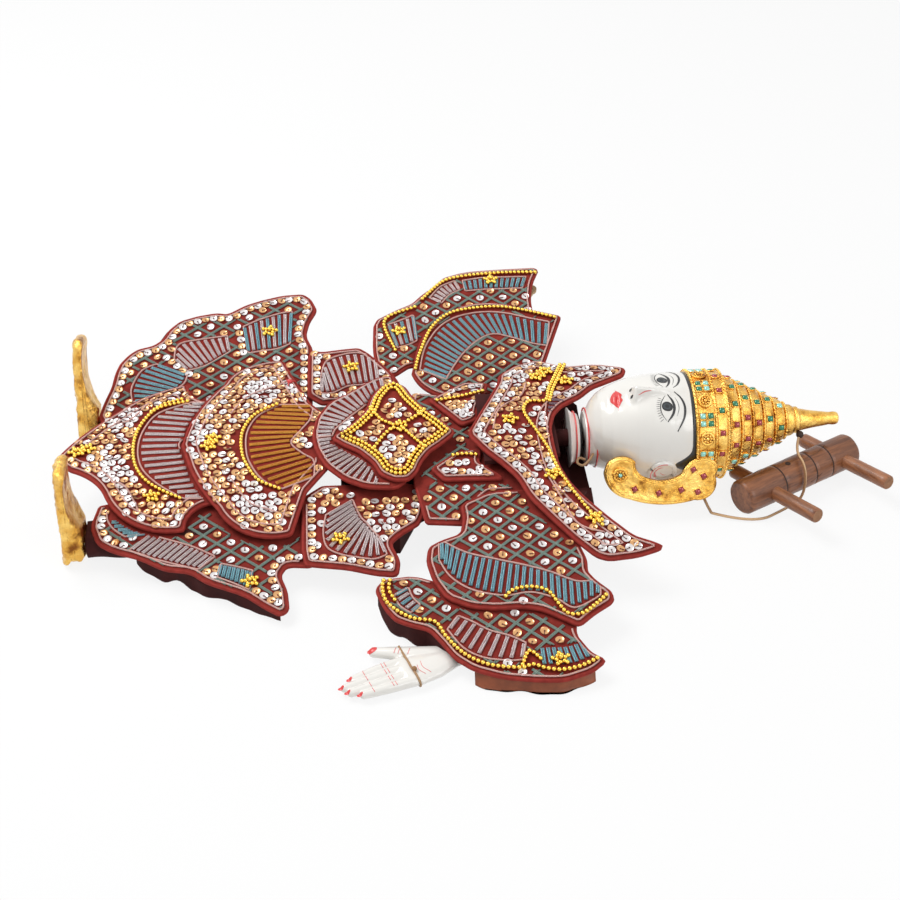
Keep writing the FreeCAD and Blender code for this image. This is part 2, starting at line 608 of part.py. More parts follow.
for side, word in ((-1, "left"), (1, "right")):
    y0, z0, angle = SLEEVE[side]
    tilted_panel("sleeve_" + word, sleeve_near if side < 0 else sleeve_far, side, y0, z0, angle)
    tilted_panel("cuff_" + word, cuff_near if side < 0 else cuff_far, side, y0,
                 z0 - layer_step, angle)

    upper_turn = side * (112.0 if side < 0 else 125.0)
    fore_turn = side * (126.0 if side < 0 else 60.0)
    hand_turn = side * (160.0 if side < 0 else 170.0)
    frame, shoulder = arm_frame(side)
    to_elbow = Rotation(V(0, 0, 1), upper_turn)
    elbow = shoulder + to_elbow.multVec(V(upper_len, 0, 0))
    to_wrist = Rotation(V(0, 0, 1), fore_turn)
    wrist = elbow + to_wrist.multVec(V(fore_len, 0, 0))

    arm = cylinder("arm_rod_" + word, cell("arm_r"), upper_len - 27, V(15, 0, 0), V(1, 0, 0))
    eye_a = cylinder("shoulder_eye_" + word, 6, 10, V(0, 0, -5), V(0, 0, 1))
    web_a = box("shoulder_web_" + word, (0, -5, -5), (17, 5, 5))
    fork = cylinder("elbow_fork_" + word, 6, 14, V(upper_len, 0, -7), V(0, 0, 1))
    web_b = box("elbow_web_" + word, (upper_len - 14, -6, -7), (upper_len, 6, 7))
    raw = fuse("upper_arm_raw_" + word, [arm, eye_a, web_a, fork, web_b])
    bore = cylinder("shoulder_bore_" + word, "%s + %s" % (cell("pin_r"), cell("pin_clear")), 20,
                    V(0, 0, -10), V(0, 0, 1))
    slot = box("elbow_slot_" + word, (upper_len - 8, -12, -3 - gap), (upper_len + 8, 12, 3 + gap))
    hole = cylinder("elbow_hole_" + word, cell("pin_r"), 20, V(upper_len, 0, -10), V(0, 0, 1))
    node("upper_arm_" + word, cut("upper_arm_cut_" + word, raw, [bore, slot, hole]),
         frame * Placement(shoulder, to_elbow))
    node("elbow_pin_" + word, cylinder("elbow_wire_" + word, cell("pin_r"), 14, V(0, 0, -7),
                                       V(0, 0, 1)), frame * Placement(elbow, Rotation()))

    fore = cone("forearm_rod_" + word, cell("forearm_r"), cell("wrist_r"), fore_len - 24,
                V(10, 0, 0), V(1, 0, 0))
    eye_b = cylinder("elbow_eye_" + word, 6, 6, V(0, 0, -3), V(0, 0, 1))
    web_c = box("forearm_web_" + word, (0, -5, -3), (14, 5, 3))
    wrist_web = box("wrist_web_" + word, (fore_len - 16, -3, -1.2), (fore_len, 3, 1.2))
    wrist_eye = cylinder("wrist_eye_" + word, 4, 2.4, V(fore_len, 0, -1.2), V(0, 0, 1))
    raw = fuse("forearm_raw_" + word, [fore, eye_b, web_c, wrist_web, wrist_eye])
    bore = cylinder("elbow_bore_" + word, "%s + %s" % (cell("pin_r"), cell("pin_clear")), 20,
                    V(0, 0, -10), V(0, 0, 1))
    level = frame.Rotation.inverted() if side < 0 else Rotation()
    upright = to_wrist.inverted().multVec(level.multVec(V(0, 0, 1)))
    wrist_bore = cylinder("wrist_bore_" + word, 1.1, 20, V(fore_len, 0, 0) - upright * 10,
                          upright)
    node("forearm_" + word, cut("forearm_cut_" + word, raw, [bore, wrist_bore]),
         frame * Placement(elbow, to_wrist))

    palm = pad_body("palm_" + word, "XY_Plane", mirrored([
        (-4, -6), (13, -6.5), (24, -11.5), (36, -12.5), ((60, -9), (82, -3)), ((84, 0), (82, 3)),
        ((60, 9), (40, 9)), ((34, 13), (52, 22)), ((53, 27), (44, 26)), ((28, 18), (13, 7)),
        (-4, 6)], side), cell("hand_t"))
    half_t = size("hand_t") / 2
    wrist_slot = box("wrist_slot_" + word, (-8, -15, half_t - 2.6), (6.8, 15, half_t + 2.6))
    wrist_peg = cylinder("wrist_peg_" + word, 1.0, size("hand_t"), V(0, 0, 0), V(0, 0, 1))
    hand_cut = cut("hand_cut_" + word, palm, [wrist_slot])
    hand = fuse("hand_solid_" + word, [hand_cut, wrist_peg])
    spin = Rotation(V(0, 0, 1), hand_turn)
    node("hand_" + word, hand, frame * Placement(wrist, level)
         * Placement(V(0, 0, -half_t), spin))

# ---------------------------------------------------------------- head string
cord_r = size("cord_r")
wrap_r = bar_r + cord_r + 0.4
foot = bar_left + along * 44
route = []
route.append(V(170, -50, 3.0))
route.append(V(196, -62, 1.6))
low_side = foot + V(math.sin(turn), -math.cos(turn), 0) * (wrap_r + 1.5)
route.append(V(low_side.x - 14, low_side.y - 9, 1.6))
route.append(V(low_side.x, low_side.y, bar_r - 9))
top_near = foot + V(math.sin(turn), -math.cos(turn), 0) * (wrap_r - 1.5)
route.append(V(top_near.x + 1, top_near.y, bar_r + wrap_r + 1.5))
route.append(V(foot.x + 3, foot.y + 8, bar_r + wrap_r + 2.5))
route.append(V(236, -9, 34))


def rounded_route(points, names="cord"):
    """Straight runs joined by tangent arcs, as one wire."""
    edges = []
    start = points[0]
    length = 0.0
    for before, here, after in zip(points, points[1:], points[2:]):
        back = before - here
        ahead = after - here
        bend = math.pi - back.getAngle(ahead)
        reach = 0.45 * min(back.Length, ahead.Length)
        radius = reach / math.tan(bend / 2)
        back.normalize()
        ahead.normalize()
        first = here + back * reach
        second = here + ahead * reach
        bisector = back + ahead
        bisector.normalize()
        middle = here + bisector * (radius / math.cos(bend / 2) - radius)
        edges.append(Part.LineSegment(start, first).toShape())
        edges.append(Part.Arc(first, middle, second).toShape())
        length += (first - start).Length + radius * bend
        print("%s bend %.0f deg, radius %.1f mm" % (names, math.degrees(bend), radius))
        start = second
    edges.append(Part.LineSegment(start, points[-1]).toShape())
    length += (points[-1] - start).Length
    return Part.Wire(edges), length


cord_wire, cord_length = rounded_route(route, "head string")
cord_start = cord_wire.Edges[0]
tangent = cord_start.tangentAt(cord_start.FirstParameter)
section = Part.Wire([Part.Circle(route[0], tangent, cord_r).toShape()])
cord_shape = cord_wire.makePipeShell([section], True, False)
cord = doc.addObject("Part::Feature", "head_string_tube")
cord.Shape = cord_shape
expected = math.pi * cord_r ** 2 * cord_length
print("head string length %.1f mm, volume ratio %.3f" % (cord_length, cord_shape.Volume / expected))
node("head_string", cord)

# ---------------------------------------------------------------- check and write
doc.recompute()
problems = []
for obj in doc.Objects:
    if "Invalid" in obj.State or "Error" in obj.State:
        problems.append("%s: %s" % (obj.Name, obj.State))
for obj in finished:
    if obj.Shape.isNull() or not obj.Shape.isValid() or not obj.Shape.Solids:
        problems.append("%s: bad shape" % obj.Label)
if problems:
    raise RuntimeError("; ".join(problems))

os.makedirs("parts", exist_ok=True)
box_all = FreeCAD.BoundBox()
for obj in finished:
    shape = obj.Shape
    if len(shape.Solids) == 1:
        shape = shape.Solids[0]
    shape.exportStep("parts/%s.step" % obj.Label)
    if obj.Label != "head_string":
        box_all.add(shape.BoundBox)
print("%d nodes, box %s" % (len(finished), box_all))
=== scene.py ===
import bpy
import math
import numpy as np
from mathutils import Matrix, Vector
from mathutils.bvhtree import BVHTree
from mathutils.geometry import delaunay_2d_cdt
from mathutils.noise import fractal


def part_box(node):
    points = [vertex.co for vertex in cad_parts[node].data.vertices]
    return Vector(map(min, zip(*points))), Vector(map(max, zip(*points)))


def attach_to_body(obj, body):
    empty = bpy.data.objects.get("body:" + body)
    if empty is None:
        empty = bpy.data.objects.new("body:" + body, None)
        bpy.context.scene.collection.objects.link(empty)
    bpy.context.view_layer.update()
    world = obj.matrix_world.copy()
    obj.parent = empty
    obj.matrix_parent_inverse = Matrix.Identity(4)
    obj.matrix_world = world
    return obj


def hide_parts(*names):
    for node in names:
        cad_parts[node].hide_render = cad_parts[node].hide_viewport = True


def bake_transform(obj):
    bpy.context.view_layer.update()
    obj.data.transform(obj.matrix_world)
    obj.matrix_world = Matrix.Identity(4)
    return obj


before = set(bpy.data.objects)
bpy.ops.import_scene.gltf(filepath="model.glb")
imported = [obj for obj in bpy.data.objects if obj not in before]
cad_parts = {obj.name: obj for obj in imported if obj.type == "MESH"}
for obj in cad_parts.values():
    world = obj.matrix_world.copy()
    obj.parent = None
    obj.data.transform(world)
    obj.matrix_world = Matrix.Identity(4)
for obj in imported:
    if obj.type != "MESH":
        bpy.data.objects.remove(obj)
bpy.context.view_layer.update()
rng = np.random.default_rng(7)

# Puppet coordinates are millimetres from the waist line; OFFSET moves them to the row frame.
spire_low, spire_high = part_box("crown_spire")
band_low, band_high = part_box("crown_band")
SPIRE_TIP_X = 264.2
OFFSET = np.array([spire_high[0] * 1000 - SPIRE_TIP_X, (band_low[1] + band_high[1]) * 500, 0.0])
HEAD_Z = 40.0
LEG_Y = 58.0


def metres(points):
    return (np.atleast_2d(np.asarray(points, float)) + OFFSET) / 1000.0


# ---------------------------------------------------------------- camera
camera_data = bpy.data.cameras.new("camera")
camera_data.sensor_width = 36.0
camera_data.lens = 68.57
camera_data.clip_end = 20.0
camera = bpy.data.objects.new("camera", camera_data)
bpy.context.scene.collection.objects.link(camera)
camera.location = metres([-74.75, -928.8, 705.3])[0]
camera.rotation_euler = Vector((0.0649, 0.8064, -0.5878)).to_track_quat("-Z", "Y").to_euler()
bpy.context.scene.camera = camera


# ---------------------------------------------------------------- materials
def new_material(name, color, rough=0.5, metal=0.0, coat=0.0, sheen=0.0, specular=0.5):
    material = bpy.data.materials.new(name)
    material.use_nodes = True
    shader = material.node_tree.nodes["Principled BSDF"]
    shader.inputs["Base Color"].default_value = (*color, 1)
    shader.inputs["Roughness"].default_value = rough
    shader.inputs["Metallic"].default_value = metal
    shader.inputs["Coat Weight"].default_value = coat
    shader.inputs["Coat Roughness"].default_value = 0.12
    shader.inputs["Sheen Weight"].default_value = sheen
    shader.inputs["Sheen Tint"].default_value = (*color, 1)
    shader.inputs["Specular IOR Level"].default_value = specular
    material.diffuse_color = (*color, 1)
    return material, material.node_tree, shader


def add_node(tree, kind, **inputs):
    made = tree.nodes.new(kind)
    for key, value in inputs.items():
        made.inputs[key.replace("_", " ")].default_value = value
    return made


def object_coordinates(tree, scale=(1, 1, 1)):
    texture = tree.nodes.new("ShaderNodeTexCoord")
    mapping = tree.nodes.new("ShaderNodeMapping")
    mapping.inputs["Scale"].default_value = scale
    tree.links.new(texture.outputs["Object"], mapping.inputs["Vector"])
    return mapping.outputs["Vector"]


def noise(tree, vector, scale, detail=4.0, rough=0.6):
    made = add_node(tree, "ShaderNodeTexNoise", Scale=scale, Detail=detail, Roughness=rough)
    tree.links.new(vector, made.inputs["Vector"])
    return made.outputs["Fac"]


def ramp(tree, factor, stops):
    made = tree.nodes.new("ShaderNodeValToRGB")
    elements = made.color_ramp.elements
    while len(elements) < len(stops):
        elements.new(0.5)
    for element, (place, color) in zip(elements, stops):
        element.position = place
        element.color = (*color, 1) if len(color) == 3 else color
    tree.links.new(factor, made.inputs["Fac"])
    return made.outputs["Color"]


def bump(tree, shader, height, strength, distance):
    made = add_node(tree, "ShaderNodeBump", Strength=strength, Distance=distance)
    tree.links.new(height, made.inputs["Height"])
    tree.links.new(made.outputs["Normal"], shader.inputs["Normal"])
    return made


def mottled(name, dark, light, scale, rough, metal=0.0, bump_mm=0.2, stretch=(1, 1, 1), **more):
    """Material whose colour drifts between two shades with a fine surface bump."""
    middle = tuple((a + b) / 2 for a, b in zip(dark, light))
    material, tree, shader = new_material(name, middle, rough, metal, **more)
    vector = object_coordinates(tree, stretch)
    level = noise(tree, vector, scale)
    tree.links.new(ramp(tree, level, [(0.3, dark), (0.7, light)]), shader.inputs["Base Color"])
    bump(tree, shader, noise(tree, vector, scale * 4), 0.6, bump_mm / 1000)
    return material


def twisted(name, first, second, per_mm, rough=0.4, metal=0.5):
    """Thread laid as a twist: two strands alternate along the tube (UV in millimetres)."""
    material, tree, shader = new_material(name, first, rough, metal)
    texture = tree.nodes.new("ShaderNodeTexCoord")
    wave = add_node(tree, "ShaderNodeTexWave", Scale=per_mm, Distortion=0.6, Detail=1.0)
    wave.bands_direction = "DIAGONAL"
    tree.links.new(texture.outputs["UV"], wave.inputs["Vector"])
    tree.links.new(ramp(tree, wave.outputs["Fac"], [(0.35, first), (0.6, second)]),
                   shader.inputs["Base Color"])
    bump(tree, shader, wave.outputs["Fac"], 0.7, 0.0003)
    return material


def leafed(name):
    """Gold leaf over red-brown lacquer: broken facets, and dark noise patches that are partly
    lacquer where the leaf is rubbed and partly painted shade standing in for the dark recesses.
    """
    material, tree, shader = new_material(name, (0.75, 0.45, 0.10), 0.3, 1.0)
    vector = object_coordinates(tree)
    fine = noise(tree, vector, 420.0, 6.0, 0.7)
    broad = noise(tree, vector, 95.0, 3.0, 0.55)
    cells = add_node(tree, "ShaderNodeTexVoronoi", Scale=330.0)
    tree.links.new(vector, cells.inputs["Vector"])
    # painted shade: the dark stop darkens noise patches to stand in for shaded recesses as well as
    # rubbed leaf; it does not follow the shape
    color = ramp(tree, broad, [(0.27, (0.24, 0.08, 0.015)), (0.40, (0.74, 0.39, 0.07)),
                               (0.64, (0.97, 0.64, 0.18))])
    tree.links.new(color, shader.inputs["Base Color"])
    tree.links.new(ramp(tree, fine, [(0.35, (0.12, 0.12, 0.12)), (0.7, (0.30, 0.30, 0.30))]),
                   shader.inputs["Roughness"])
    mixed = tree.nodes.new("ShaderNodeMath")
    mixed.operation = "MULTIPLY_ADD"
    mixed.inputs[1].default_value = 0.5
    tree.links.new(cells.outputs["Distance"], mixed.inputs[0])
    tree.links.new(fine, mixed.inputs[2])
    bump(tree, shader, mixed.outputs["Value"], 0.8, 0.0008)
    return material


def wooden(name, dark, light, axis, rough=0.45, coat=0.15):
    """Straight-grained wood whose grain runs along the given direction."""
    middle = tuple((a + b) / 2 for a, b in zip(dark, light))
    material, tree, shader = new_material(name, middle, rough, 0.0, coat)
    texture = tree.nodes.new("ShaderNodeTexCoord")
    turned = tree.nodes.new("ShaderNodeMapping")
    turned.inputs["Rotation"].default_value = (0, 0, -axis)
    squeezed = tree.nodes.new("ShaderNodeMapping")
    squeezed.inputs["Scale"].default_value = (0.12, 1, 1)
    tree.links.new(texture.outputs["Object"], turned.inputs["Vector"])
    tree.links.new(turned.outputs["Vector"], squeezed.inputs["Vector"])
    grain = noise(tree, squeezed.outputs["Vector"], 420.0, 6.0, 0.65)
    broad = noise(tree, squeezed.outputs["Vector"], 90.0, 3.0)
    both = tree.nodes.new("ShaderNodeMath")
    both.operation = "MULTIPLY_ADD"
    both.inputs[1].default_value = 0.6
    tree.links.new(grain, both.inputs[0])
    half = tree.nodes.new("ShaderNodeMath")
    half.operation = "MULTIPLY"
    half.inputs[1].default_value = 0.4
    tree.links.new(broad, half.inputs[0])
    tree.links.new(half.outputs["Value"], both.inputs[2])
    tree.links.new(ramp(tree, both.outputs["Value"], [(0.36, dark), (0.62, light)]),
                   shader.inputs["Base Color"])
    bump(tree, shader, grain, 0.5, 0.0003)
    return material


BAR_TURN = math.radians(29.2)
MAT = {
    "velvet": mottled("velvet", (0.155, 0.016, 0.012), (0.27, 0.030, 0.021), 160, 0.9,
                      bump_mm=0.25, sheen=0.5, specular=0.2),
    "piping": mottled("piping", (0.22, 0.022, 0.016), (0.35, 0.037, 0.028), 240, 0.8,
                      bump_mm=0.2, sheen=0.5, specular=0.25),
    "lining": mottled("lining", (0.030, 0.006, 0.006), (0.060, 0.011, 0.010), 90, 0.85,
                      bump_mm=0.3, sheen=0.2, specular=0.2),
    "satin": mottled("satin", (0.20, 0.050, 0.018), (0.33, 0.085, 0.030), 120, 0.5,
                     bump_mm=0.2, sheen=0.2),
    "cord_pink": twisted("cord_pink", (0.56, 0.22, 0.19), (0.90, 0.66, 0.60), 1.1, 0.42, 0.35),
    "cord_teal": twisted("cord_teal", (0.035, 0.11, 0.095), (0.36, 0.42, 0.36), 0.8, 0.45, 0.4),
    "purl_teal": twisted("purl_teal", (0.075, 0.22, 0.28), (0.36, 0.64, 0.72), 1.8, 0.3, 0.6),
    "purl_silver": twisted("purl_silver", (0.45, 0.32, 0.32), (0.92, 0.84, 0.84), 1.8, 0.28, 0.7),
    "purl_orange": twisted("purl_orange", (0.52, 0.15, 0.015), (0.92, 0.46, 0.08), 1.8, 0.3, 0.7),
    "purl_mauve": twisted("purl_mauve", (0.10, 0.05, 0.07), (0.36, 0.24, 0.28), 1.8, 0.35, 0.6),
    "sequin_white": new_material("sequin_white", (0.76, 0.72, 0.71), 0.24, 0.35, 0.6)[0],
    "sequin_gold": new_material("sequin_gold", (0.70, 0.37, 0.15), 0.24, 0.6, 0.6)[0],
    "stitch": new_material("stitch", (0.12, 0.03, 0.025), 0.7)[0],
    "bead": new_material("bead", (0.80, 0.53, 0.085), 0.16, 1.0, 0.3)[0],
    "face": new_material("face", (0.82, 0.80, 0.755), 0.28, 0.0, 0.9)[0],
    "hair": new_material("hair", (0.010, 0.010, 0.012), 0.4, 0.0, 0.3)[0],
    "ink": new_material("ink", (0.012, 0.012, 0.014), 0.45, 0.0, 0.3)[0],
    "grey_paint": new_material("grey_paint", (0.035, 0.045, 0.05), 0.4, 0.0, 0.3)[0],
    "red_paint": new_material("red_paint", (0.72, 0.040, 0.040), 0.35, 0.0, 0.5)[0],
    "pink_paint": new_material("pink_paint", (0.78, 0.17, 0.17), 0.35, 0.0, 0.5)[0],
    "leaf": leafed("leaf"),
    "stone_red": new_material("stone_red", (0.33, 0.012, 0.016), 0.08, 0.35, 1.0)[0],
    "stone_green": new_material("stone_green", (0.005, 0.19, 0.085), 0.08, 0.35, 1.0)[0],
    "stone_mint": new_material("stone_mint", (0.30, 0.70, 0.60), 0.08, 0.35, 1.0)[0],
    "bar_wood": wooden("bar_wood", (0.095, 0.028, 0.011), (0.33, 0.125, 0.050), BAR_TURN),
    "dowel_wood": wooden("dowel_wood", (0.14, 0.046, 0.018), (0.38, 0.150, 0.062),
                         BAR_TURN - math.pi / 2),
    "end_grain": mottled("end_grain", (0.22, 0.095, 0.040), (0.36, 0.175, 0.085), 300, 0.6),
    # burnt wood colour for the rings, cracks and knot; it is also painted shade for the hole in the
    # bar
    "burnt_and_hole_shade": new_material("burnt_and_hole_shade", (0.030, 0.012, 0.007), 0.7)[0],
    "wood": wooden("wood", (0.42, 0.27, 0.13), (0.62, 0.43, 0.24), 0.0, 0.6, 0.0),
    "brass": new_material("brass", (0.60, 0.42, 0.16), 0.3, 1.0)[0],
    "string": twisted("string", (0.33, 0.17, 0.075), (0.66, 0.43, 0.24), 0.8, 0.7, 0.0),
}


# ---------------------------------------------------------------- outlines
def expand(outline):
    """Corner points; ((mid), (end)) makes an arc, as in the CAD outlines."""
    last = outline[-1]
    start = np.array(last[1] if isinstance(last[0], tuple) else last, float)
    result = []
    for item in outline:
        if isinstance(item[0], tuple):
            middle, end = np.array(item[0], float), np.array(item[1], float)
            (ax, ay), (bx, by), (cx, cy) = start, middle, end
            d = 2 * (ax * (by - cy) + bx * (cy - ay) + cx * (ay - by))
            ux = ((ax * ax + ay * ay) * (by - cy) + (bx * bx + by * by) * (cy - ay)
                  + (cx * cx + cy * cy) * (ay - by)) / d
            uy = ((ax * ax + ay * ay) * (cx - bx) + (bx * bx + by * by) * (ax - cx)
                  + (cx * cx + cy * cy) * (bx - ax)) / d
            centre = np.array([ux, uy])
            a0 = math.atan2(*(start - centre)[::-1])
            a1 = math.atan2(*(middle - centre)[::-1])
            a2 = math.atan2(*(end - centre)[::-1])
            forward = (a1 - a0) % (2 * math.pi) < (a2 - a0) % (2 * math.pi)
            sweep = (a2 - a0) % (2 * math.pi)
            if not forward:
                sweep -= 2 * math.pi
            radius = np.linalg.norm(start - centre)
            for step in range(1, 13):
                angle = a0 + sweep * step / 12
                result.append(centre + radius * np.array([math.cos(angle), math.sin(angle)]))
            start = end
        else:
            start = np.array(item, float)
            result.append(start)
    return np.array(result)


def resample(points, step, closed=False):
    points = np.asarray(points, float)
    if closed:
        points = np.vstack([points, points[:1]])
    legs = np.linalg.norm(np.diff(points, axis=0), axis=1)
    run = np.concatenate([[0], np.cumsum(legs)])
    count = max(2, int(round(run[-1] / step)) + (0 if closed else 1))
    where = np.linspace(0, run[-1], count, endpoint=not closed)
    return np.stack([np.interp(where, run, points[:, k]) for k in range(points.shape[1])], 1)


def spaced(points, count):
    points = smooth(points)
    length = np.linalg.norm(np.diff(points, axis=0), axis=1).sum()
    return resample(points, length / (count - 1))[:count]


def smooth(points, closed=False, steps=6):
    """Catmull-Rom curve through the points."""
    p = np.asarray(points, float)
    if len(p) < 3:
        return p
    n = len(p)
    out = []
    for i in range(n if closed else n - 1):
        if closed:
            a, b, c, d = p[(i - 1) % n], p[i], p[(i + 1) % n], p[(i + 2) % n]
        else:
            a, b, c, d = p[max(i - 1, 0)], p[i], p[i + 1], p[min(i + 2, n - 1)]
        for t in np.arange(steps) / steps:
            out.append(0.5 * (2 * b + (c - a) * t + (2 * a - 5 * b + 4 * c - d) * t * t
                              + (3 * b - a - 3 * c + d) * t ** 3))
    if not closed:
        out.append(p[-1])
    return np.array(out)


def inside(points, polygon):
    points = np.atleast_2d(points)
    result = np.zeros(len(points), bool)
    x, y = points[:, 0], points[:, 1]
    a = polygon
    b = np.roll(polygon, -1, axis=0)
    for (ax, ay), (bx, by) in zip(a, b):
        if ay == by:
            continue
        crossing = (ay > y) != (by > y)
        result ^= crossing & (x < (bx - ax) * (y - ay) / (by - ay) + ax)
    return result


def distance(points, line, closed=True):
    points = np.atleast_2d(points)
    a = line if closed else line[:-1]
    b = np.roll(line, -1, axis=0) if closed else line[1:]
    best = np.full(len(points), 1e9)
    for start, end in zip(a, b):
        way = end - start
        t = np.clip(((points - start) @ way) / max(way @ way, 1e-9), 0, 1)
        gap = np.linalg.norm(points - (start + t[:, None] * way), axis=1)
        best = np.minimum(best, gap)
    return best


def area_of(polygon):
    x, y = polygon[:, 0], polygon[:, 1]
    return 0.5 * float(np.sum(x * np.roll(y, -1) - y * np.roll(x, -1)))


def inset(polygon, depth, step=1.5):
    """Runs of points that lie the given depth inside the outline."""
    ring = resample(polygon, step, True)
    turn = 1.0 if area_of(ring) > 0 else -1.0
    way = np.roll(ring, -1, axis=0) - np.roll(ring, 1, axis=0)
    way /= np.linalg.norm(way, axis=1)[:, None] + 1e-9
    moved = ring + turn * depth * np.stack([-way[:, 1], way[:, 0]], 1)
    good = inside(moved, ring) & (distance(moved, ring) > depth * 0.97)
    if not good.any():
        return np.zeros((0, 2))
    moved = moved[good]
    return resample(moved, step, True)


# ---------------------------------------------------------------- surfaces
RIPPLES = ((0.7, 31.0, 23.0, 0.6), (0.5, 17.0, 29.0, 2.1), (0.3, 12.0, 14.0, 4.0))


def ripple(x, y):
    total = 0.0
    for height, long, wide, phase in RIPPLES:
        total = total + height * np.sin(x / long + phase) * np.sin(y / wide + phase * 1.7)
    return total


class Drape:
    """Cloth that lies over the body, a large cylinder along X."""
    CROWN = {"torso": (30.0, 40.0), "apron": (60.0, 42.0)}

    def __init__(self, family, layer):
        self.crown, self.top = self.CROWN[family]
        self.radius = 500.0 + 3.5 * layer

    def at(self, uv, height=0.0):
        uv = np.atleast_2d(uv)
        angle = np.arcsin((uv[:, 1] - self.crown) / self.radius)
        r = self.radius + height + ripple(uv[:, 0], uv[:, 1])
        return np.stack([uv[:, 0], self.crown + r * np.sin(angle),
                         self.top - 500.0 + r * np.cos(angle)], 1)

    def up(self, uv):
        angle = np.arcsin((np.atleast_2d(uv)[:, 1] - self.crown) / self.radius)
        return np.stack([angle * 0, np.sin(angle), np.cos(angle)], 1)


class Tilt:
    """Cloth that lies in a plane rising or falling outward on one side."""

    def __init__(self, side, start, level, angle):
        self.side, self.start, self.level = side, start, level
        self.angle = math.radians(angle)

    def at(self, uv, height=0.0):
        uv = np.atleast_2d(uv)
        c, s = math.cos(self.angle), math.sin(self.angle)
        y = self.side * (self.start + uv[:, 1] * c)
        h = height + ripple(uv[:, 0], y)
        return np.stack([uv[:, 0], y - self.side * s * h, self.level + uv[:, 1] * s + c * h], 1)

    def up(self, uv):
        n = len(np.atleast_2d(uv))
        one = [0.0, -self.side * math.sin(self.angle), math.cos(self.angle)]
        return np.tile(np.array(one), (n, 1))


# ---------------------------------------------------------------- meshes
class Bag:
    """Gathers many small shapes into one object with several materials."""

    def __init__(self):
        self.verts, self.faces, self.mats, self.uvs = [], [], [], []
        self.names = []
        self.count = 0

    def add(self, verts, faces, material, uv=None):
        if material not in self.names:
            self.names.append(material)
        verts = np.asarray(verts, float)
        self.verts.append(verts)
        self.uvs.append(np.zeros((len(verts), 2)) if uv is None else uv)
        for face in faces:
            self.faces.append([i + self.count for i in face])
        self.mats.extend([self.names.index(material)] * len(faces))
        self.count += len(verts)

    def tube(self, points, radius, material, sides=6, closed=False, flat=1.0):
        points = np.asarray(points, float)
        if len(points) < 2:
            return
        n = len(points)
        if closed:
            way = np.roll(points, -1, axis=0) - np.roll(points, 1, axis=0)
        else:
            way = np.gradient(points, axis=0)
        way /= np.linalg.norm(way, axis=1)[:, None] + 1e-9
        hint = np.array([0.0, 0.0, 1.0]) + 0 * way
        steep = np.abs(way[:, 2]) > 0.9
        hint[steep] = [1.0, 0.0, 0.0]
        across = np.cross(way, hint)
        across /= np.linalg.norm(across, axis=1)[:, None] + 1e-9
        over = np.cross(across, way)
        turn = np.arange(sides) * 2 * math.pi / sides - math.pi / 2
        radius = np.broadcast_to(np.asarray(radius, float), (n,))
        ring = (np.cos(turn)[None, :, None] * across[:, None, :]
                + flat * np.sin(turn)[None, :, None] * over[:, None, :])
        verts = points[:, None, :] + ring * radius[:, None, None]
        run = np.concatenate([[0], np.cumsum(np.linalg.norm(np.diff(points, axis=0), axis=1))])
        uv = np.stack(np.broadcast_arrays(run[:, None], np.arange(sides)[None, :]
                                          * 2 * math.pi * radius[:, None] / sides), 2)
        faces = []
        for i in range(n if closed else n - 1):
            j = (i + 1) % n
            for k in range(sides):
                m = (k + 1) % sides
                faces.append((i * sides + k, i * sides + m, j * sides + m, j * sides + k))
        if not closed:
            faces.append(tuple(range(sides))[::-1])
            faces.append(tuple((n - 1) * sides + k for k in range(sides)))
        self.add(verts.reshape(-1, 3), faces, material, uv.reshape(-1, 2))

    def scatter(self, template, places, ups, material, scale=1.0, tilt=0.0, spin=True):
        """Copies a template (verts, faces) to each place, its Z along the given normal."""
        verts, faces = template
        places, ups = np.atleast_2d(places), np.atleast_2d(ups)
        for place, up in zip(places, ups):
            axis = up + rng.normal(0, tilt, 3) if tilt else up
            axis = axis / np.linalg.norm(axis)
            side = np.cross(axis, [math.cos(1.0), math.sin(1.0), 0.1])
            side /= np.linalg.norm(side)
            other = np.cross(axis, side)
            a = rng.uniform(0, 2 * math.pi) if spin else 0.0
            first = side * math.cos(a) + other * math.sin(a)
            second = np.cross(axis, first)
            basis = np.stack([first, second, axis])
            self.add(place + (verts * scale) @ basis, faces, material)

    def build(self, name, flat=()):
        verts = metres(np.vstack(self.verts))
        mesh = bpy.data.meshes.new(name)
        mesh.from_pydata(verts.tolist(), [], self.faces)
        for key in self.names:
            mesh.materials.append(MAT[key])
        mesh.polygons.foreach_set("material_index", self.mats)
        shade = [self.names[m] not in flat for m in self.mats]
        mesh.polygons.foreach_set("use_smooth", shade)
        corner = np.empty(len(mesh.loops), int)
        mesh.loops.foreach_get("vertex_index", corner)
        layer = mesh.uv_layers.new(name="UVMap")
        layer.data.foreach_set("uv", np.vstack(self.uvs)[corner].ravel())
        mesh.update()
        made = bpy.data.objects.new(name, mesh)
        bpy.context.scene.collection.objects.link(made)
        return made


def ball_template(radius, around=8, up=5):
    verts = [(0, 0, -radius)]
    for j in range(1, up):
        lat = -math.pi / 2 + math.pi * j / up
        for i in range(around):
            lon = 2 * math.pi * i / around
            verts.append((radius * math.cos(lat) * math.cos(lon),
                          radius * math.cos(lat) * math.sin(lon), radius * math.sin(lat)))
    verts.append((0, 0, radius))
    faces = []
    top = len(verts) - 1
    for i in range(around):
        j = (i + 1) % around
        faces.append((0, 1 + j, 1 + i))
        for k in range(up - 2):
            a = 1 + k * around
            faces.append((a + i, a + j, a + around + j, a + around + i))
        a = 1 + (up - 2) * around
        faces.append((a + i, a + j, top))
    return np.array(verts), faces


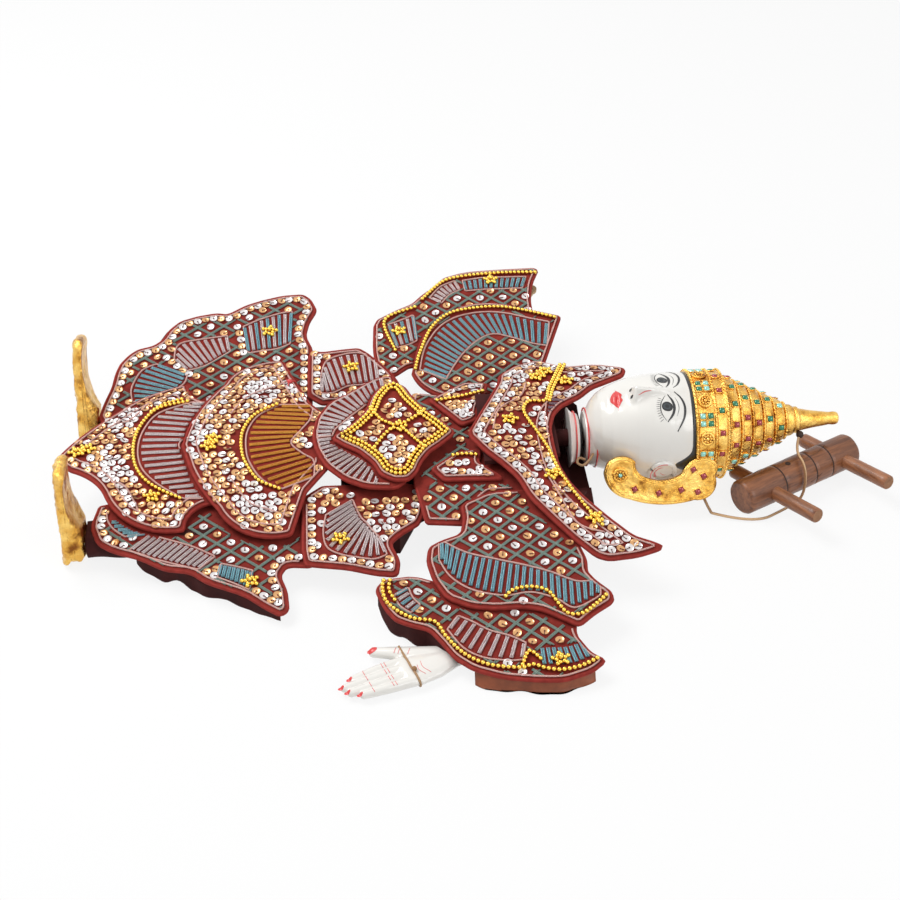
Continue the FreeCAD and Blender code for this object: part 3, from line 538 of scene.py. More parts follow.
def sequin_template(radius=2.75, sides=14):
    verts, faces = [], []
    for r, h in ((0.6, 0.25), (1.5, 0.1), (radius - 0.35, 0.42), (radius, 0.62)):
        for i in range(sides):
            angle = 2 * math.pi * i / sides
            verts.append((r * math.cos(angle), r * math.sin(angle), h))
    for k in range(3):
        for i in range(sides):
            j = (i + 1) % sides
            a, b = k * sides, (k + 1) * sides
            faces.append((a + i, b + i, b + j, a + j))
    return np.array(verts), faces


def stitch_template(radius=2.75):
    w = 0.24
    verts = [(0, -w, 0.15), (0, w, 0.15), (0, 0, 0.75), (radius + 0.3, -w, 0.45),
             (radius + 0.3, w, 0.45), (radius + 0.3, 0, 1.0)]
    faces = [(0, 3, 5, 2), (1, 2, 5, 4), (3, 4, 5), (0, 2, 1)]
    return np.array(verts), faces


BEAD = ball_template(1.55)
SEQUIN = sequin_template()
STITCH = stitch_template()


def triangulate(ring, step):
    """Boundary ring plus an even filling of points, as vertices and triangles."""
    low, high = ring.min(0), ring.max(0)
    xs = np.arange(low[0] + step / 2, high[0], step)
    ys = np.arange(low[1] + step / 2, high[1], step * 0.866)
    grid = np.array([(x + (step / 2 if j % 2 else 0), y)
                     for j, y in enumerate(ys) for x in xs])
    grid = grid[inside(grid, ring) & (distance(grid, ring) > step * 0.45)]
    points = np.vstack([ring, grid])
    n = len(ring)
    edges = [(i, (i + 1) % n) for i in range(n)]
    verts, _, faces, *_ = delaunay_2d_cdt([Vector(p) for p in points], edges, [], 1, 1e-6)
    verts = np.array([tuple(v) for v in verts])
    keep = []
    for face in faces:
        (ax, ay), (bx, by), (cx, cy) = verts[list(face)[:3]]
        keep.append(tuple(face) if (bx - ax) * (cy - ay) - (by - ay) * (cx - ax) > 0
                    else tuple(face)[::-1])
    return verts, keep


def slab(bag, surface, polygon, thickness, top, under, edge, step=4.0, height=None, base=0.0):
    """Closed sheet: a top face that may swell, a plain underside and a wall between them."""
    ring = resample(polygon, 1.6, True)
    if area_of(ring) < 0:
        ring = ring[::-1]
    verts, faces = triangulate(ring, step)
    swell = np.zeros(len(verts)) if height is None else height(distance(verts, ring))
    upper = surface.at(verts, swell + base)
    lower = surface.at(verts, -thickness + base)
    mirrored = surface_flips(surface)
    bag.add(upper, [f[::-1] for f in faces] if mirrored else faces, top)
    bag.add(lower, faces if mirrored else [f[::-1] for f in faces], under)
    n = len(ring)
    rim = np.vstack([upper[:n], lower[:n]])
    walls = [(i, (i + 1) % n, n + (i + 1) % n, n + i) for i in range(n)]
    bag.add(rim, walls if mirrored else [w[::-1] for w in walls], edge)


def surface_flips(surface):
    return isinstance(surface, Tilt) and surface.side < 0


made_pieces = {}


def attach(obj, body, replaces=()):
    if body is not None:
        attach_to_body(obj, body)
    if replaces:
        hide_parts(*replaces)
    made_pieces[obj.name] = obj
    return obj


# ---------------------------------------------------------------- head string
bar_r, cord_r = 12.0, 0.9
along = np.array([math.cos(BAR_TURN), math.sin(BAR_TURN), 0.0])
across_near = np.array([math.sin(BAR_TURN), -math.cos(BAR_TURN), 0.0])
bar_left = np.array([189.6, -47.0, bar_r])
foot = bar_left + along * 44.0
wrap_r = bar_r + cord_r + 0.4
low_side = foot + across_near * (wrap_r + 1.5)
top_near = foot + across_near * (wrap_r - 1.5)
ROUTE = np.array([
    (170.0, -50.0, 3.0), (196.0, -62.0, 1.6), (low_side[0] - 14, low_side[1] - 9, 1.6),
    (low_side[0], low_side[1], bar_r - 9), (top_near[0] + 1, top_near[1], bar_r + wrap_r + 1.5),
    (foot[0] + 3, foot[1] + 8, bar_r + wrap_r + 2.5), (236.0, -9.0, 34.0)])
route = metres(ROUTE)
curve = bpy.data.curves.new("head_string_curve", "CURVE")
curve.dimensions = "3D"
curve.bevel_depth = cord_r / 1000
curve.bevel_resolution = 4
curve.resolution_u = 16
curve.use_fill_caps = True
spline = curve.splines.new("NURBS")
spline.points.add(len(route) - 1)
for point, place in zip(spline.points, route):
    point.co = (*place, 1.0)
spline.order_u = 3
spline.use_endpoint_u = True
head_string = bpy.data.objects.new("head_string_cord", curve)
bpy.context.scene.collection.objects.link(head_string)
curve.materials.append(MAT["string"])
attach(head_string, "head", ["head_string"])


# ---------------------------------------------------------------- embroidery
class Work:
    """Embroidery on one panel: what is drawn first keeps its place, fillings go round it."""

    def __init__(self, surface, polygon, covers=()):
        self.surface, self.polygon, self.covers = surface, polygon, covers
        self.bag = Bag()
        self.areas, self.spots = [], []

    def ok(self, points, margin=2.6):
        points = np.atleast_2d(points)
        good = inside(points, self.polygon) & (distance(points, self.polygon) > margin)
        if self.covers:
            world = self.surface.at(points)[:, :2]
            for cover in self.covers:
                good &= ~(inside(world, cover) | (distance(world, cover) < 1.0))
        return good

    def free(self, points, reach=2.6, areas=True):
        points = np.atleast_2d(points)
        good = self.ok(points, reach + 2.2)
        if areas:
            for area in self.areas:
                good &= ~(inside(points, area) | (distance(points, area) < reach))
        if self.spots:
            spots = np.array(self.spots)
            gap = np.linalg.norm(points[:, None, :] - spots[None, :, :2], axis=2)
            good &= ~(gap < spots[None, :, 2] + reach).any(1)
        return good

    def line(self, points, material, radius=0.55, height=0.5, closed=False, margin=2.6,
             avoid=False, step=1.5):
        points = resample(points, step, closed)
        if closed:
            points = np.vstack([points, points[:1]])
        good = self.free(points, 0.4) if avoid else self.ok(points, margin)
        start = None
        for i in range(len(points) + 1):
            if i < len(points) and good[i]:
                start = i if start is None else start
            elif start is not None:
                if i - start > 2:
                    self.bag.tube(self.surface.at(points[start:i], height), radius, material)
                start = None

    def cord(self, points, closed=False, material="cord_pink"):
        self.line(smooth(points, closed), material, 0.6, 0.5, closed)

    def border(self, depth, material="cord_pink"):
        ring = inset(self.polygon, depth)
        if len(ring) > 3:
            self.line(ring, material, 0.6, 0.5, True, depth * 0.85)

    def purl(self, start, end, material):
        start, end = np.array(start), np.array(end)
        way = end - start
        length = np.linalg.norm(way)
        if length < 2:
            return
        across = np.array([-way[1], way[0]]) / length * 0.62
        for sign in (-1, 1):
            self.line(np.array([start, end]) + across * sign, material, 0.62, 0.6)

    def fan(self, outer, inner, count, materials, edge=True):
        a, b = spaced(outer, count), spaced(inner, count)
        for i in range(count):
            way = (a[i] - b[i]) / (np.linalg.norm(a[i] - b[i]) + 1e-9)
            self.purl(b[i] + way * 1.2, a[i] - way * 1.4, materials[i % len(materials)])
        ring = np.vstack([smooth(outer), smooth(inner)[::-1]])
        centre = ring.mean(0)
        wide = centre + (ring - centre) * 1.04
        if edge:
            self.line(np.vstack([wide, wide[:1]]), "cord_pink", 0.6, 0.5)
        self.areas.append(wide)

    def beads(self, points, step=3.05):
        line = resample(smooth(points), step)
        line = line[self.ok(line, 1.2)]
        if len(line):
            self.bag.scatter(BEAD, self.surface.at(line, 1.5), self.surface.up(line), "bead",
                             spin=False)
        self.spots.extend([(x, y, 1.6) for x, y in line])

    def cluster(self, x, y, size=1.0):
        spots = [(0, 0, 3.2)] + [(2.7 * math.cos(a), 2.7 * math.sin(a), 1.5)
                                 for a in np.arange(6) * math.pi / 3 + x]
        spots += [(5.0 * math.cos(a), 4.2 * math.sin(a), 1.4)
                  for a in np.arange(5) * math.pi * 0.4 + y]
        place = np.array([(x + a * size, y + b * size) for a, b, _ in spots])
        if not self.ok([[x, y]])[0]:
            return
        for p, (_, _, h) in zip(place, spots):
            self.bag.scatter(BEAD, self.surface.at(p, h), self.surface.up(p), "bead", spin=False)
        self.spots.append((x, y, 5.2 * size))

    def sequins(self, points, kinds, tilt=0.10):
        points = np.atleast_2d(points)
        if not len(points):
            return
        for i, point in enumerate(points):
            kind = kinds[i % len(kinds)]
            place, up = self.surface.at(point, 0.25), self.surface.up(point)
            state = rng.bit_generator.state
            self.bag.scatter(SEQUIN, place, up, "sequin_" + kind, tilt=tilt)
            rng.bit_generator.state = state
            self.bag.scatter(STITCH, place, up, "stitch", tilt=tilt)
        self.spots.extend([(x, y, 2.4) for x, y in points])

    def row(self, points, kinds=("white",), step=6.0, closed=False):
        line = resample(smooth(points, closed) if not closed else points, step, closed)
        line = line[self.free(line, 1.2)] if len(line) else line
        self.sequins(line, kinds)

    def ring(self, depth, kinds=("gold", "white", "gold"), step=6.1):
        line = inset(self.polygon, depth, 1.0)
        if len(line) < 4:
            return
        line = resample(line, step, True)
        self.sequins(line[self.free(line, 1.0)], kinds)

    def scales(self, spacing=6.0, turn=0.0):
        """Overlapping sequins in staggered rows over whatever ground is left."""
        low, high = self.polygon.min(0), self.polygon.max(0)
        j = 0
        y = low[1]
        found = []
        while y < high[1]:
            for x in np.arange(low[0] + (spacing / 2 if j % 2 else 0), high[0], spacing):
                found.append((x + rng.normal(0, 0.35), y + rng.normal(0, 0.35)))
            y += spacing * 0.9
            j += 1
        found = np.array(found)
        found = found[self.free(found, 1.7)]
        light = np.sin(found[:, 0] / 7.0 + turn) + np.sin(found[:, 1] / 8.5 + turn * 2)
        self.sequins(found[light > 0.9], ("white",), 0.12)
        self.sequins(found[light <= 0.9], ("gold", "gold", "white", "gold"), 0.12)

    def lattice(self, cell=11.5, turn=38.0, kinds=("gold", "white", "gold")):
        low, high = self.polygon.min(0) - 40, self.polygon.max(0) + 40
        reach = float(np.linalg.norm(high - low))
        middle = (low + high) / 2
        ways = [np.array([math.cos(math.radians(t)), math.sin(math.radians(t))])
                for t in (turn, -turn)]
        gap = cell * math.sin(math.radians(2 * turn))
        count = int(reach / gap / 2)
        for way in ways:
            normal = np.array([-way[1], way[0]])
            for i in range(-count, count + 1):
                centre = middle + normal * gap * i
                ends = np.array([centre - way * reach / 2, centre + way * reach / 2])
                for sign in (-0.5, 0.5):
                    self.line(ends + normal * sign, "cord_teal", 0.5, 0.45, avoid=True)
        cells = [middle + (a + 0.5) * cell * ways[0] + (b + 0.5) * cell * ways[1]
                 for a in range(-count * 2, count * 2) for b in range(-count * 2, count * 2)]
        cells = np.array([c for c in cells if (c > low).all() and (c < high).all()])
        self.sequins(cells[self.free(cells, 1.6)], kinds)


def cover_of(surface, polygon):
    return surface.at(polygon)[:, :2]


SHAPES = {
    "bodice": [
        (-27, -44), (-22, -78), (4, -80), (12, -64), (22, -54.5), (52, -54.5), (72, -54), (58, -24),
        (58, 20), (74, 40), (40, 44), (0, 50), (-22, 56), (-27, 30)],
    "waist_strap_left": [(2, -20), (20, -16), (17, -30), (34, -46), (-8, -46), (-16, -34)],
    "waist_strap_right": [(-12, 40), (8, 8), (19, 12), (22, 26), (32, 58), (14, 60)],
    "collar": [
        (10, -11), (18, 6), (27, 24), (36, 45), (38, 57), (50, 69), (67, 76), (84, 64), (108, 66),
        (128, 59), (125, 49), (114, 43), (101, 36), (91, 25), (78, 16), (71, 6), (67, -8),
        (67, -24), (68, -43), (73, -59), (81, -73), (94, -90), (107, -104), (119, -109),
        (126, -113), (122, -116), (108, -120), (89, -122), (81, -119), (69, -106), (56, -88),
        (45, -71), (39, -53), (31, -41), (20, -28)],
    "medallion": [
        (-80, -6), (-67, 5), (-56, 19), (-52, 33), (-45, 45), (-35, 51), (-27, 45), (-22, 31),
        (-13, 16), (-4, 5), (4, -7), (-6, -17), (-15, -24), (-21, -33), (-24, -41), (-30, -48),
        (-40, -48), (-49, -42), (-53, -32), (-62, -21), (-72, -14)],
    "apron_lower": [
        (-262, -4), ((-246, 20), (-222, 46)), ((-204, 62), (-176, 76)), ((-174, 62), (-160, 50)),
        (-112, 46), (-112, -42), (-160, -48), ((-170, -54), (-174, -68)),
        ((-204, -64), (-226, -40)), ((-240, -20), (-250, -14))],
    "apron_middle": [
        (-178, 0), ((-168, 36), (-152, 66)), ((-134, 90), (-110, 94)), (-104, 74), (-92, 40),
        (-80, 24), (-80, -24), (-96, -46), (-106, -80), ((-132, -78), (-154, -56)),
        ((-166, -36), (-172, -22))],
    "apron_upper": [
        (-92, 1), (-89, 19), (-80, 35), (-65, 45), (-48, 60), (-32, 65), (-30, -44), (-39, -51),
        (-58, -49), (-72, -42), (-84, -29), (-90, -14)],
    "wing_left": [
        (-235, 13), (-230, 28), (-220, 35), (-202, 42), (-187, 52), (-171, 55), (-160, 65),
        (-137, 76), (-125, 86), (-115, 93), (-109, 89), (-110, 73), (-114, 61), (-110, 54),
        (-91, 56), (-96, -14), (-230, -8)],
    "wing_right": [
        (-239, 6), (-236, 18), (-231, 33), (-229, 46), (-226, 55), (-220, 63), (-214, 68),
        (-203, 71), (-197, 76), (-192, 86), (-184, 94), (-172, 98), (-158, 100), (-150, 98),
        (-137, 106), (-124, 111), (-110, 115), (-95, 116), (-89, 110), (-85, 99), (-91, 87),
        (-94, 74), (-89, 60), (-92, -12), (-137, -12), (-230, -6)],
    "hip_flap_left": [
        (-101, 57), (-90, 59), (-73, 62), (-55, 68), (-41, 70), (-39, 57), (-44, 43), (-38, 37),
        (-23, 27), (-17, -8), (-100, -10)],
    "hip_flap_right": [
        (-93, 57), (-84, 54), (-70, 56), (-57, 57), (-51, 52), (-40, 39), (-34, 31), (-29, 21),
        (-32, 6), (-95, 5)],
    "sleeve_left": [
        (1, 6), (2, 18), (-1, 32), (-14, 37), (-22, 42), (-24, 54), (-21, 70), (-14, 85), (0, 93),
        (16, 96), (30, 96), (42, 99), (53, 106), (64, 113), (75, 103), (88, 94), (88, 86),
        (79, 76), (75, 69), (76, 59), (73, 46), (71, 31), (59, 4), (47, -5), (21, -5)],
    "cuff_left": [
        (-57, 71), (-51, 63), (-32, 61), (-12, 70), (18, 75), (64, 102), (62, 115), (69, 129),
        (78, 136), (68, 144), (51, 149), (36, 148), (15, 145), (-2, 138), (-13, 128), (-19, 117),
        (-26, 106), (-37, 102), (-46, 97), (-52, 87)],
    "sleeve_right": [
        (-21, 30), ((-14, 16), (0, 6)), (24, 0), (58, 0), (74, 34), (92, 82), (60, 94),
        ((24, 98), (2, 84)), ((-12, 64), (-18, 44))],
    "cuff_right": [
        (-45, 90), (-29, 100), (-16, 106), (-9, 114), (3, 125), (9, 133), (25, 138), (50, 139),
        (83, 141), (75, 122), (72, 105), (72, 92), (66, 47), (-20, 42), (-34, 31), (-45, 37),
        (-47, 59)],
}
SURFACES = {
    "bodice": Drape("torso", 0), "waist_strap_left": Drape("torso", 1),
    "waist_strap_right": Drape("torso", 1), "collar": Drape("torso", 3),
    "medallion": Drape("apron", 3), "apron_lower": Drape("apron", 0),
    "apron_middle": Drape("apron", 1), "apron_upper": Drape("apron", 2),
    "wing_left": Tilt(-1, 45.0, 25.6, -10.0), "wing_right": Tilt(1, 50.0, 27.5, 16.0),
    "hip_flap_left": Tilt(-1, 45.0, 29.1, -10.0), "hip_flap_right": Tilt(1, 50.0, 31.0, 16.0),
    "sleeve_left": Tilt(-1, 60.0, 34.8, -8.0), "sleeve_right": Tilt(1, 48.0, 34.0, 12.0),
    "cuff_left": Tilt(-1, 60.0, 31.3, -8.0), "cuff_right": Tilt(1, 48.0, 30.5, 12.0),
}
TRACED = ("wing_left", "wing_right", "collar", "medallion", "apron_upper", "sleeve_left",
          "cuff_left", "hip_flap_left", "hip_flap_right", "cuff_right")
OUTLINES = {}
for name in SURFACES:
    OUTLINES[name] = expand(SHAPES[name])
    if name in TRACED:
        ring = OUTLINES[name]
        after = np.roll(ring, -1, axis=0)
        OUTLINES[name] = np.stack([ring * 0.84 + after * 0.16, ring * 0.16 + after * 0.84],
                                  1).reshape(-1, 2)
WORLD = {name: cover_of(SURFACES[name], resample(OUTLINES[name], 4, True)) for name in SURFACES}
COVERED_BY = {
    "bodice": ["waist_strap_left", "waist_strap_right", "collar", "medallion", "apron_upper",
               "hip_flap_left", "hip_flap_right", "sleeve_left", "sleeve_right"],
    "waist_strap_left": ["collar", "medallion"], "waist_strap_right": ["collar", "medallion"],
    "apron_upper": ["medallion"], "apron_middle": ["apron_upper", "medallion"],
    "apron_lower": ["apron_middle", "apron_upper"],
    "wing_left": ["apron_lower", "apron_middle", "apron_upper", "hip_flap_left"],
    "wing_right": ["apron_lower", "apron_middle", "apron_upper", "hip_flap_right"],
    "hip_flap_left": ["apron_middle", "apron_upper", "medallion"],
    "hip_flap_right": ["apron_middle", "apron_upper", "medallion"],
    "cuff_left": ["sleeve_left"], "cuff_right": ["sleeve_right"],
    "sleeve_left": ["collar"], "sleeve_right": ["collar"],
}
CLOTH_T = 3.2
PIPING_R = 1.45


def cloth_panel(name):
    """Velvet slab with a lined underside, set in from the outline by the piping's radius."""
    surface, polygon = SURFACES[name], OUTLINES[name]
    bag = Bag()
    ring = inset(polygon, PIPING_R, 1.4)
    slab(bag, surface, ring, CLOTH_T - 0.5, "velvet", "lining", "velvet", base=-0.15)
    return bag.build(name + "_cloth")


def start_work(name):
    covers = [WORLD[other] for other in COVERED_BY.get(name, [])]
    work = Work(SURFACES[name], OUTLINES[name], covers)
    ring = resample(inset(OUTLINES[name], PIPING_R, 1.4), 1.6, True)
    work.bag.tube(SURFACES[name].at(ring, -1.6), PIPING_R, "piping", 8, True)
    return work


def stitch_bodice(w):
    w.border(3.6)
    w.lattice(11.5, 42.0, ("gold", "white", "gold", "gold"))


def stitch_strap(w, beads, rows):
    w.border(3.4)
    for line in beads:
        w.beads(line)
    for line in rows:
        w.row(line, ("white", "white", "gold"), 5.6)
    w.scales(5.4)


def stitch_collar(w):
    w.border(3.4)
    neck = [(83, 66), (76, 48), (70, 33), (66, 19), (55, 18), (50, 7), (56, -12), (62, -30),
            (67, -52), (77, -77), (88, -97)]
    w.beads(neck)
    w.beads([(x + 3.0, y) for x, y in neck[:4]])
    for x, y in ((40, 0), (64, 49), (83, 43), (62, -53), (84, -91), (70, 56)):
        w.cluster(x, y)
    w.fan([(80, 20), (79, 0), (78, -16)], [(68, 22), (64, 0), (66, -16)], 9, ["purl_mauve"])
    w.ring(6.6, ("white", "white", "gold"), 5.7)
    w.border(10.2)
    w.cord([(55, -41), (64, -69), (73, -94), (89, -102)])
    w.cord([(28, -8), (34, 12), (50, 26), (56, 44)])
    w.scales(6.4, 1.0)


def stitch_medallion(w):
    w.beads(np.vstack([inset(w.polygon, 4.6, 2.0), inset(w.polygon, 4.6, 2.0)[:1]]))
    w.border(2.9)
    loop = inset(w.polygon, 7.8, 2.0)
    w.beads(np.vstack([loop, loop[:1]]))
    for line in ([(-52, 20), (-46, 8), (-40, 3)], [(-12, 20), (-22, 9), (-30, 3)],
                 [(-51, -19), (-45, -9), (-40, -3)], [(-19, -20), (-27, -9), (-31, -3)]):
        w.beads(line)
    w.cluster(-35, 0, 1.1)
    w.scales(6.0, 2.0)


def stitch_apron_upper(w):
    w.border(3.4)
    w.fan([(-104, -2), (-100, 8), (-90, 27), (-79, 40), (-66, 52), (-54, 66), (-44, 68)],
          [(-78, 0), (-76, 6), (-72, 11), (-66, 18), (-58, 26), (-52, 32), (-42, 38)], 16,
          ["purl_silver"])
    w.fan([(-102, -7), (-98, -16), (-89, -30), (-80, -37), (-68, -43), (-58, -48), (-48, -51)],
          [(-78, -4), (-74, -10), (-70, -16), (-64, -21), (-60, -24), (-56, -28), (-46, -36)], 15,
          ["purl_silver"])
    w.ring(6.4, ("gold", "white"), 5.8)
    w.scales(5.2)


def stitch_apron_middle(w):
    w.border(3.4)
    arc = [(-115, 38), (-130, 27), (-138, 9), (-138, -11), (-134, -24), (-127, -36), (-114, -44)]
    w.beads(arc)
    w.fan([(-113, 37), (-127, 26), (-134, 9), (-134, -11), (-130, -24), (-123, -35), (-112, -42)],
          [(-91, 35), (-93, 21), (-100, 9), (-106, -2), (-99, -12), (-92, -19), (-92, -33)], 17,
          ["purl_orange"])
    for x, y in ((-160, -3), (-157, 4)):
        w.cluster(x, y, 0.9)
    w.border(9.6)
    w.cord([(-146, 30), (-134, 50), (-114, 62), (-104, 70)])
    w.cord([(-146, -30), (-134, -52), (-120, -60), (-108, -66)])
    w.scales(6.0, 0.6)


def stitch_apron_lower(w):
    w.border(3.4)
    arc = [(-176, 50), (-196, 43), (-207, 24), (-210, 4), (-207, -16), (-197, -31), (-178, -43)]
    w.beads(arc)
    w.beads([(-180, 53), (-192, 48), (-200, 40)])
    w.fan([(-174, 48), (-194, 38), (-203, 22), (-206, 4), (-203, -14), (-193, -28), (-176, -41)],
          [(-152, 46), (-162, 30), (-173, 14), (-180, 3), (-171, -13), (-163, -27), (-156, -42)],
          19, ["purl_silver"])
    for x, y in ((-247, 2), (-240, 5), (-196, -41)):
        w.cluster(x, y, 0.95)
    w.border(9.8)
    w.cord([(-222, 30), (-212, 36), (-200, 56)])
    w.cord([(-222, -26), (-213, -32), (-204, -52)])
    w.scales(6.0, 1.7)


def stitch_wing_left(w):
    w.border(3.6)
    w.fan([(-224, 3), (-223, 10), (-219, 17), (-212, 23)], [(-194, 6), (-192, 11), (-191, 16),
          (-194, 21)], 7, ["purl_teal"])
    w.fan([(-208, 35), (-197, 41), (-182, 47), (-166, 53)], [(-196, 23), (-184, 28), (-170, 34),
          (-156, 43)], 13, ["purl_silver"])
    w.fan([(-153, 61), (-144, 66), (-134, 72)], [(-151, 50), (-142, 53), (-132, 57)], 8,
          ["purl_teal"])
    w.cluster(-133, 66)
    w.ring(6.6, ("white", "gold"), 5.9)
    w.lattice(11.5, 40.0, ("white", "gold", "white"))


def stitch_wing_right(w):
    w.border(3.6)
    w.fan([(-215, 19), (-216, 31), (-210, 46), (-200, 52)], [(-199, 20), (-189, 27), (-181, 34),
          (-179, 41)], 9, ["purl_teal"])
    w.fan([(-187, 57), (-184, 70), (-169, 74), (-151, 76)], [(-178, 46), (-166, 50), (-156, 57),
          (-149, 62)], 10, ["purl_silver"])
    w.fan([(-138, 84), (-126, 90), (-113, 95), (-104, 97)], [(-135, 60), (-125, 61), (-115, 62),
          (-106, 66)], 9, ["purl_teal", "purl_silver"])
    w.cluster(-120, 78)
    w.ring(6.4, ("gold", "white"), 5.8)
    for line in ([(-143, 84), (-141, 74), (-139, 60)], [(-193, 58), (-180, 44), (-172, 40)]):
        w.row(line, ("white", "gold"), 5.6)
    w.lattice(11.5, 36.0, ("gold", "gold", "white"))


def stitch_hip_flap_left(w):
    w.border(3.6)
    w.fan([(-84, 18), (-86, 32), (-84, 44), (-76, 50), (-66, 53), (-56, 55), (-48, 52)],
          [(-67, 6), (-66, 10), (-64, 17), (-62, 22), (-59, 26), (-56, 32), (-52, 38)], 13,
          ["purl_silver"])
    w.cluster(-76, 38)
    w.ring(6.6, ("white", "gold"), 5.9)
    w.scales(6.4, 2.2)


def stitch_hip_flap_right(w):
    w.border(3.6)
    w.fan([(-84, 29), (-80, 43), (-69, 49), (-57, 50), (-46, 44)],
          [(-84, 15), (-76, 15), (-66, 20), (-56, 21), (-45, 24)], 11, ["purl_silver"])
    w.cluster(-63, 37)
    w.ring(6.6, ("white", "gold"), 5.9)
    w.scales(6.4, 2.2)


def stitch_sleeve_left(w):
    w.border(3.4)
    w.beads([(22, 88), (28, 83), (39, 82), (48, 86), (53, 96), (58, 104), (67, 104), (76, 97),
             (83, 90)])
    w.fan([(-14, 55), (-8, 69), (4, 80), (22, 86), (38, 85), (52, 91), (62, 98), (78, 89)],
          [(-13, 38), (2, 50), (19, 57), (36, 63), (50, 69), (60, 75), (68, 78), (80, 76)], 25,
          ["purl_teal"])
    w.lattice(11.5, 42.0, ("gold", "white", "gold", "gold", "white"))


def stitch_cuff_left(w):
    w.beads([(-50, 63), (-52, 72), (-49, 85), (-36, 97), (-22, 101), (-16, 113), (-6, 127),
             (8, 136), (26, 139), (33, 137), (40, 140), (50, 142), (62, 140), (74, 134)])
    w.beads([(-47, 66), (-48, 74), (-45, 82)])
    w.beads([(27, 137), (32, 127), (38, 133)])
    w.cluster(50, 134)
    w.border(2.9)
    w.fan([(-14, 107), (-6, 121), (5, 129), (19, 132), (27, 132)],
          [(-7, 97), (1, 102), (10, 109), (21, 114), (30, 120)], 9, ["purl_silver"])
    w.fan([(-45, 78), (-42, 86), (-36, 92)], [(-36, 72), (-34, 80), (-30, 86)], 5,
          ["purl_teal", "purl_silver"])
    w.fan([(40, 138), (46, 138), (58, 138), (70, 133)], [(40, 124), (46, 124), (56, 124),
          (66, 120)], 9, ["purl_teal"], False)
    w.lattice(11.0, 42.0, ("gold", "white", "gold"))


def stitch_sleeve_right(w):
    w.beads([(-18, 33), (-14, 48), (-4, 73), (10, 87), (28, 92), (46, 93), (62, 89), (86, 79)])
    w.border(2.9)
    w.fan([(-13, 34), (-8, 55), (3, 74), (17, 84), (35, 88), (51, 86), (66, 80), (80, 75)],
          [(4, 24), (10, 36), (18, 49), (29, 61), (40, 66), (52, 62), (66, 55), (76, 52)], 24,
          ["purl_teal"])
    w.lattice(11.0, 40.0, ("gold", "white", "gold", "gold"))


def stitch_cuff_right(w):
    w.beads([(-31, 56), (-37, 88), (-14, 100)])
    w.beads([(-8, 108), (8, 126), (24, 131), (52, 133), (78, 133)])
    w.cluster(-27, 76, 0.9)
    w.cluster(44, 126, 0.9)
    w.border(2.9)
    w.fan([(-34, 84), (-24, 88), (-16, 92)], [(-29, 60), (-22, 62), (-15, 66)], 5,
          ["purl_teal", "purl_silver"])
    w.fan([(-2, 110), (6, 121), (17, 127)], [(6, 104), (12, 112), (20, 117)], 7, ["purl_silver"])
    w.fan([(24, 127), (38, 129), (54, 129), (70, 129)], [(25, 116), (38, 117), (52, 117),
          (66, 117)], 12, ["purl_teal"])
    w.lattice(11.0, 40.0, ("gold", "white"))


BODY = {"bodice": "torso", "waist_strap_left": "torso", "waist_strap_right": "torso",
        "collar": "torso", "medallion": "torso", "apron_lower": "pelvis",
        "apron_middle": "pelvis", "apron_upper": "pelvis", "hip_flap_left": "pelvis",
        "hip_flap_right": "pelvis", "sleeve_left": "upper_arm_left",
        "sleeve_right": "upper_arm_right", "cuff_left": "forearm_left",
        "cuff_right": "forearm_right"}
STITCHING = {
    "bodice": stitch_bodice,
    "waist_strap_left": lambda w: stitch_strap(
        w, [[(-6, -26), (8, -24), (24, -27)]], [[(-6, -38), (8, -40), (26, -42)]]),
    "waist_strap_right": lambda w: stitch_strap(
        w, [[(-6, 36), (10, 39), (26, 44)]], [[(0, 45), (12, 50), (24, 53)]]),
    "collar": stitch_collar, "medallion": stitch_medallion, "apron_upper": stitch_apron_upper,
    "apron_middle": stitch_apron_middle, "apron_lower": stitch_apron_lower,
    "hip_flap_left": stitch_hip_flap_left, "hip_flap_right": stitch_hip_flap_right,
    "sleeve_left": stitch_sleeve_left, "sleeve_right": stitch_sleeve_right,
    "cuff_left": stitch_cuff_left, "cuff_right": stitch_cuff_right,
    "wing_left": stitch_wing_left, "wing_right": stitch_wing_right,
}


def bend_at_hip(obj):
    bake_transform(obj)


def bend_at_knee(obj):
    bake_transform(obj)


for name in SURFACES:
    cloth = cloth_panel(name)
    work = start_work(name)
    STITCHING[name](work)
    stitched = work.bag.build(name + "_embroidery")
    low, high = OUTLINES[name].min(0), OUTLINES[name].max(0)
    if name.startswith("wing"):
        side_name = name[5:]
        for obj in (cloth, stitched):
            bend_at_knee(obj)
        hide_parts("thigh_wing_" + side_name, "shin_wing_" + side_name)
    else:
        flap = name.startswith("hip_flap")
        attach(cloth, None if flap else BODY[name], [name])
        attach(stitched, None if flap else BODY[name])
        if flap:
            bend_at_hip(cloth)
            bend_at_hip(stitched)


# ---------------------------------------------------------------- turned parts
def lathe(bag, profile, centre, material, around=96, rib=None):
    """Turned skin about X: profile of (x, radius) points, centre is (x0, y, z)."""
    angles = np.arange(around) * 2 * math.pi / around
    verts, faces = [], []
    for x, r in profile:
        for a in angles:
            grow = 0.0 if rib is None else rib(x, a)
            verts.append((centre[0] + x, centre[1] + (r + grow) * math.sin(a),
                          centre[2] + (r + grow) * math.cos(a)))
    n = len(profile)
    for i in range(n - 1):
        for k in range(around):
            m = (k + 1) % around
            faces.append((i * around + k, (i + 1) * around + k, (i + 1) * around + m,
                          i * around + m))
    bag.add(np.array(verts), faces, material)


def rounded_profile(points, steps=5):
    return smooth(points, steps=steps)


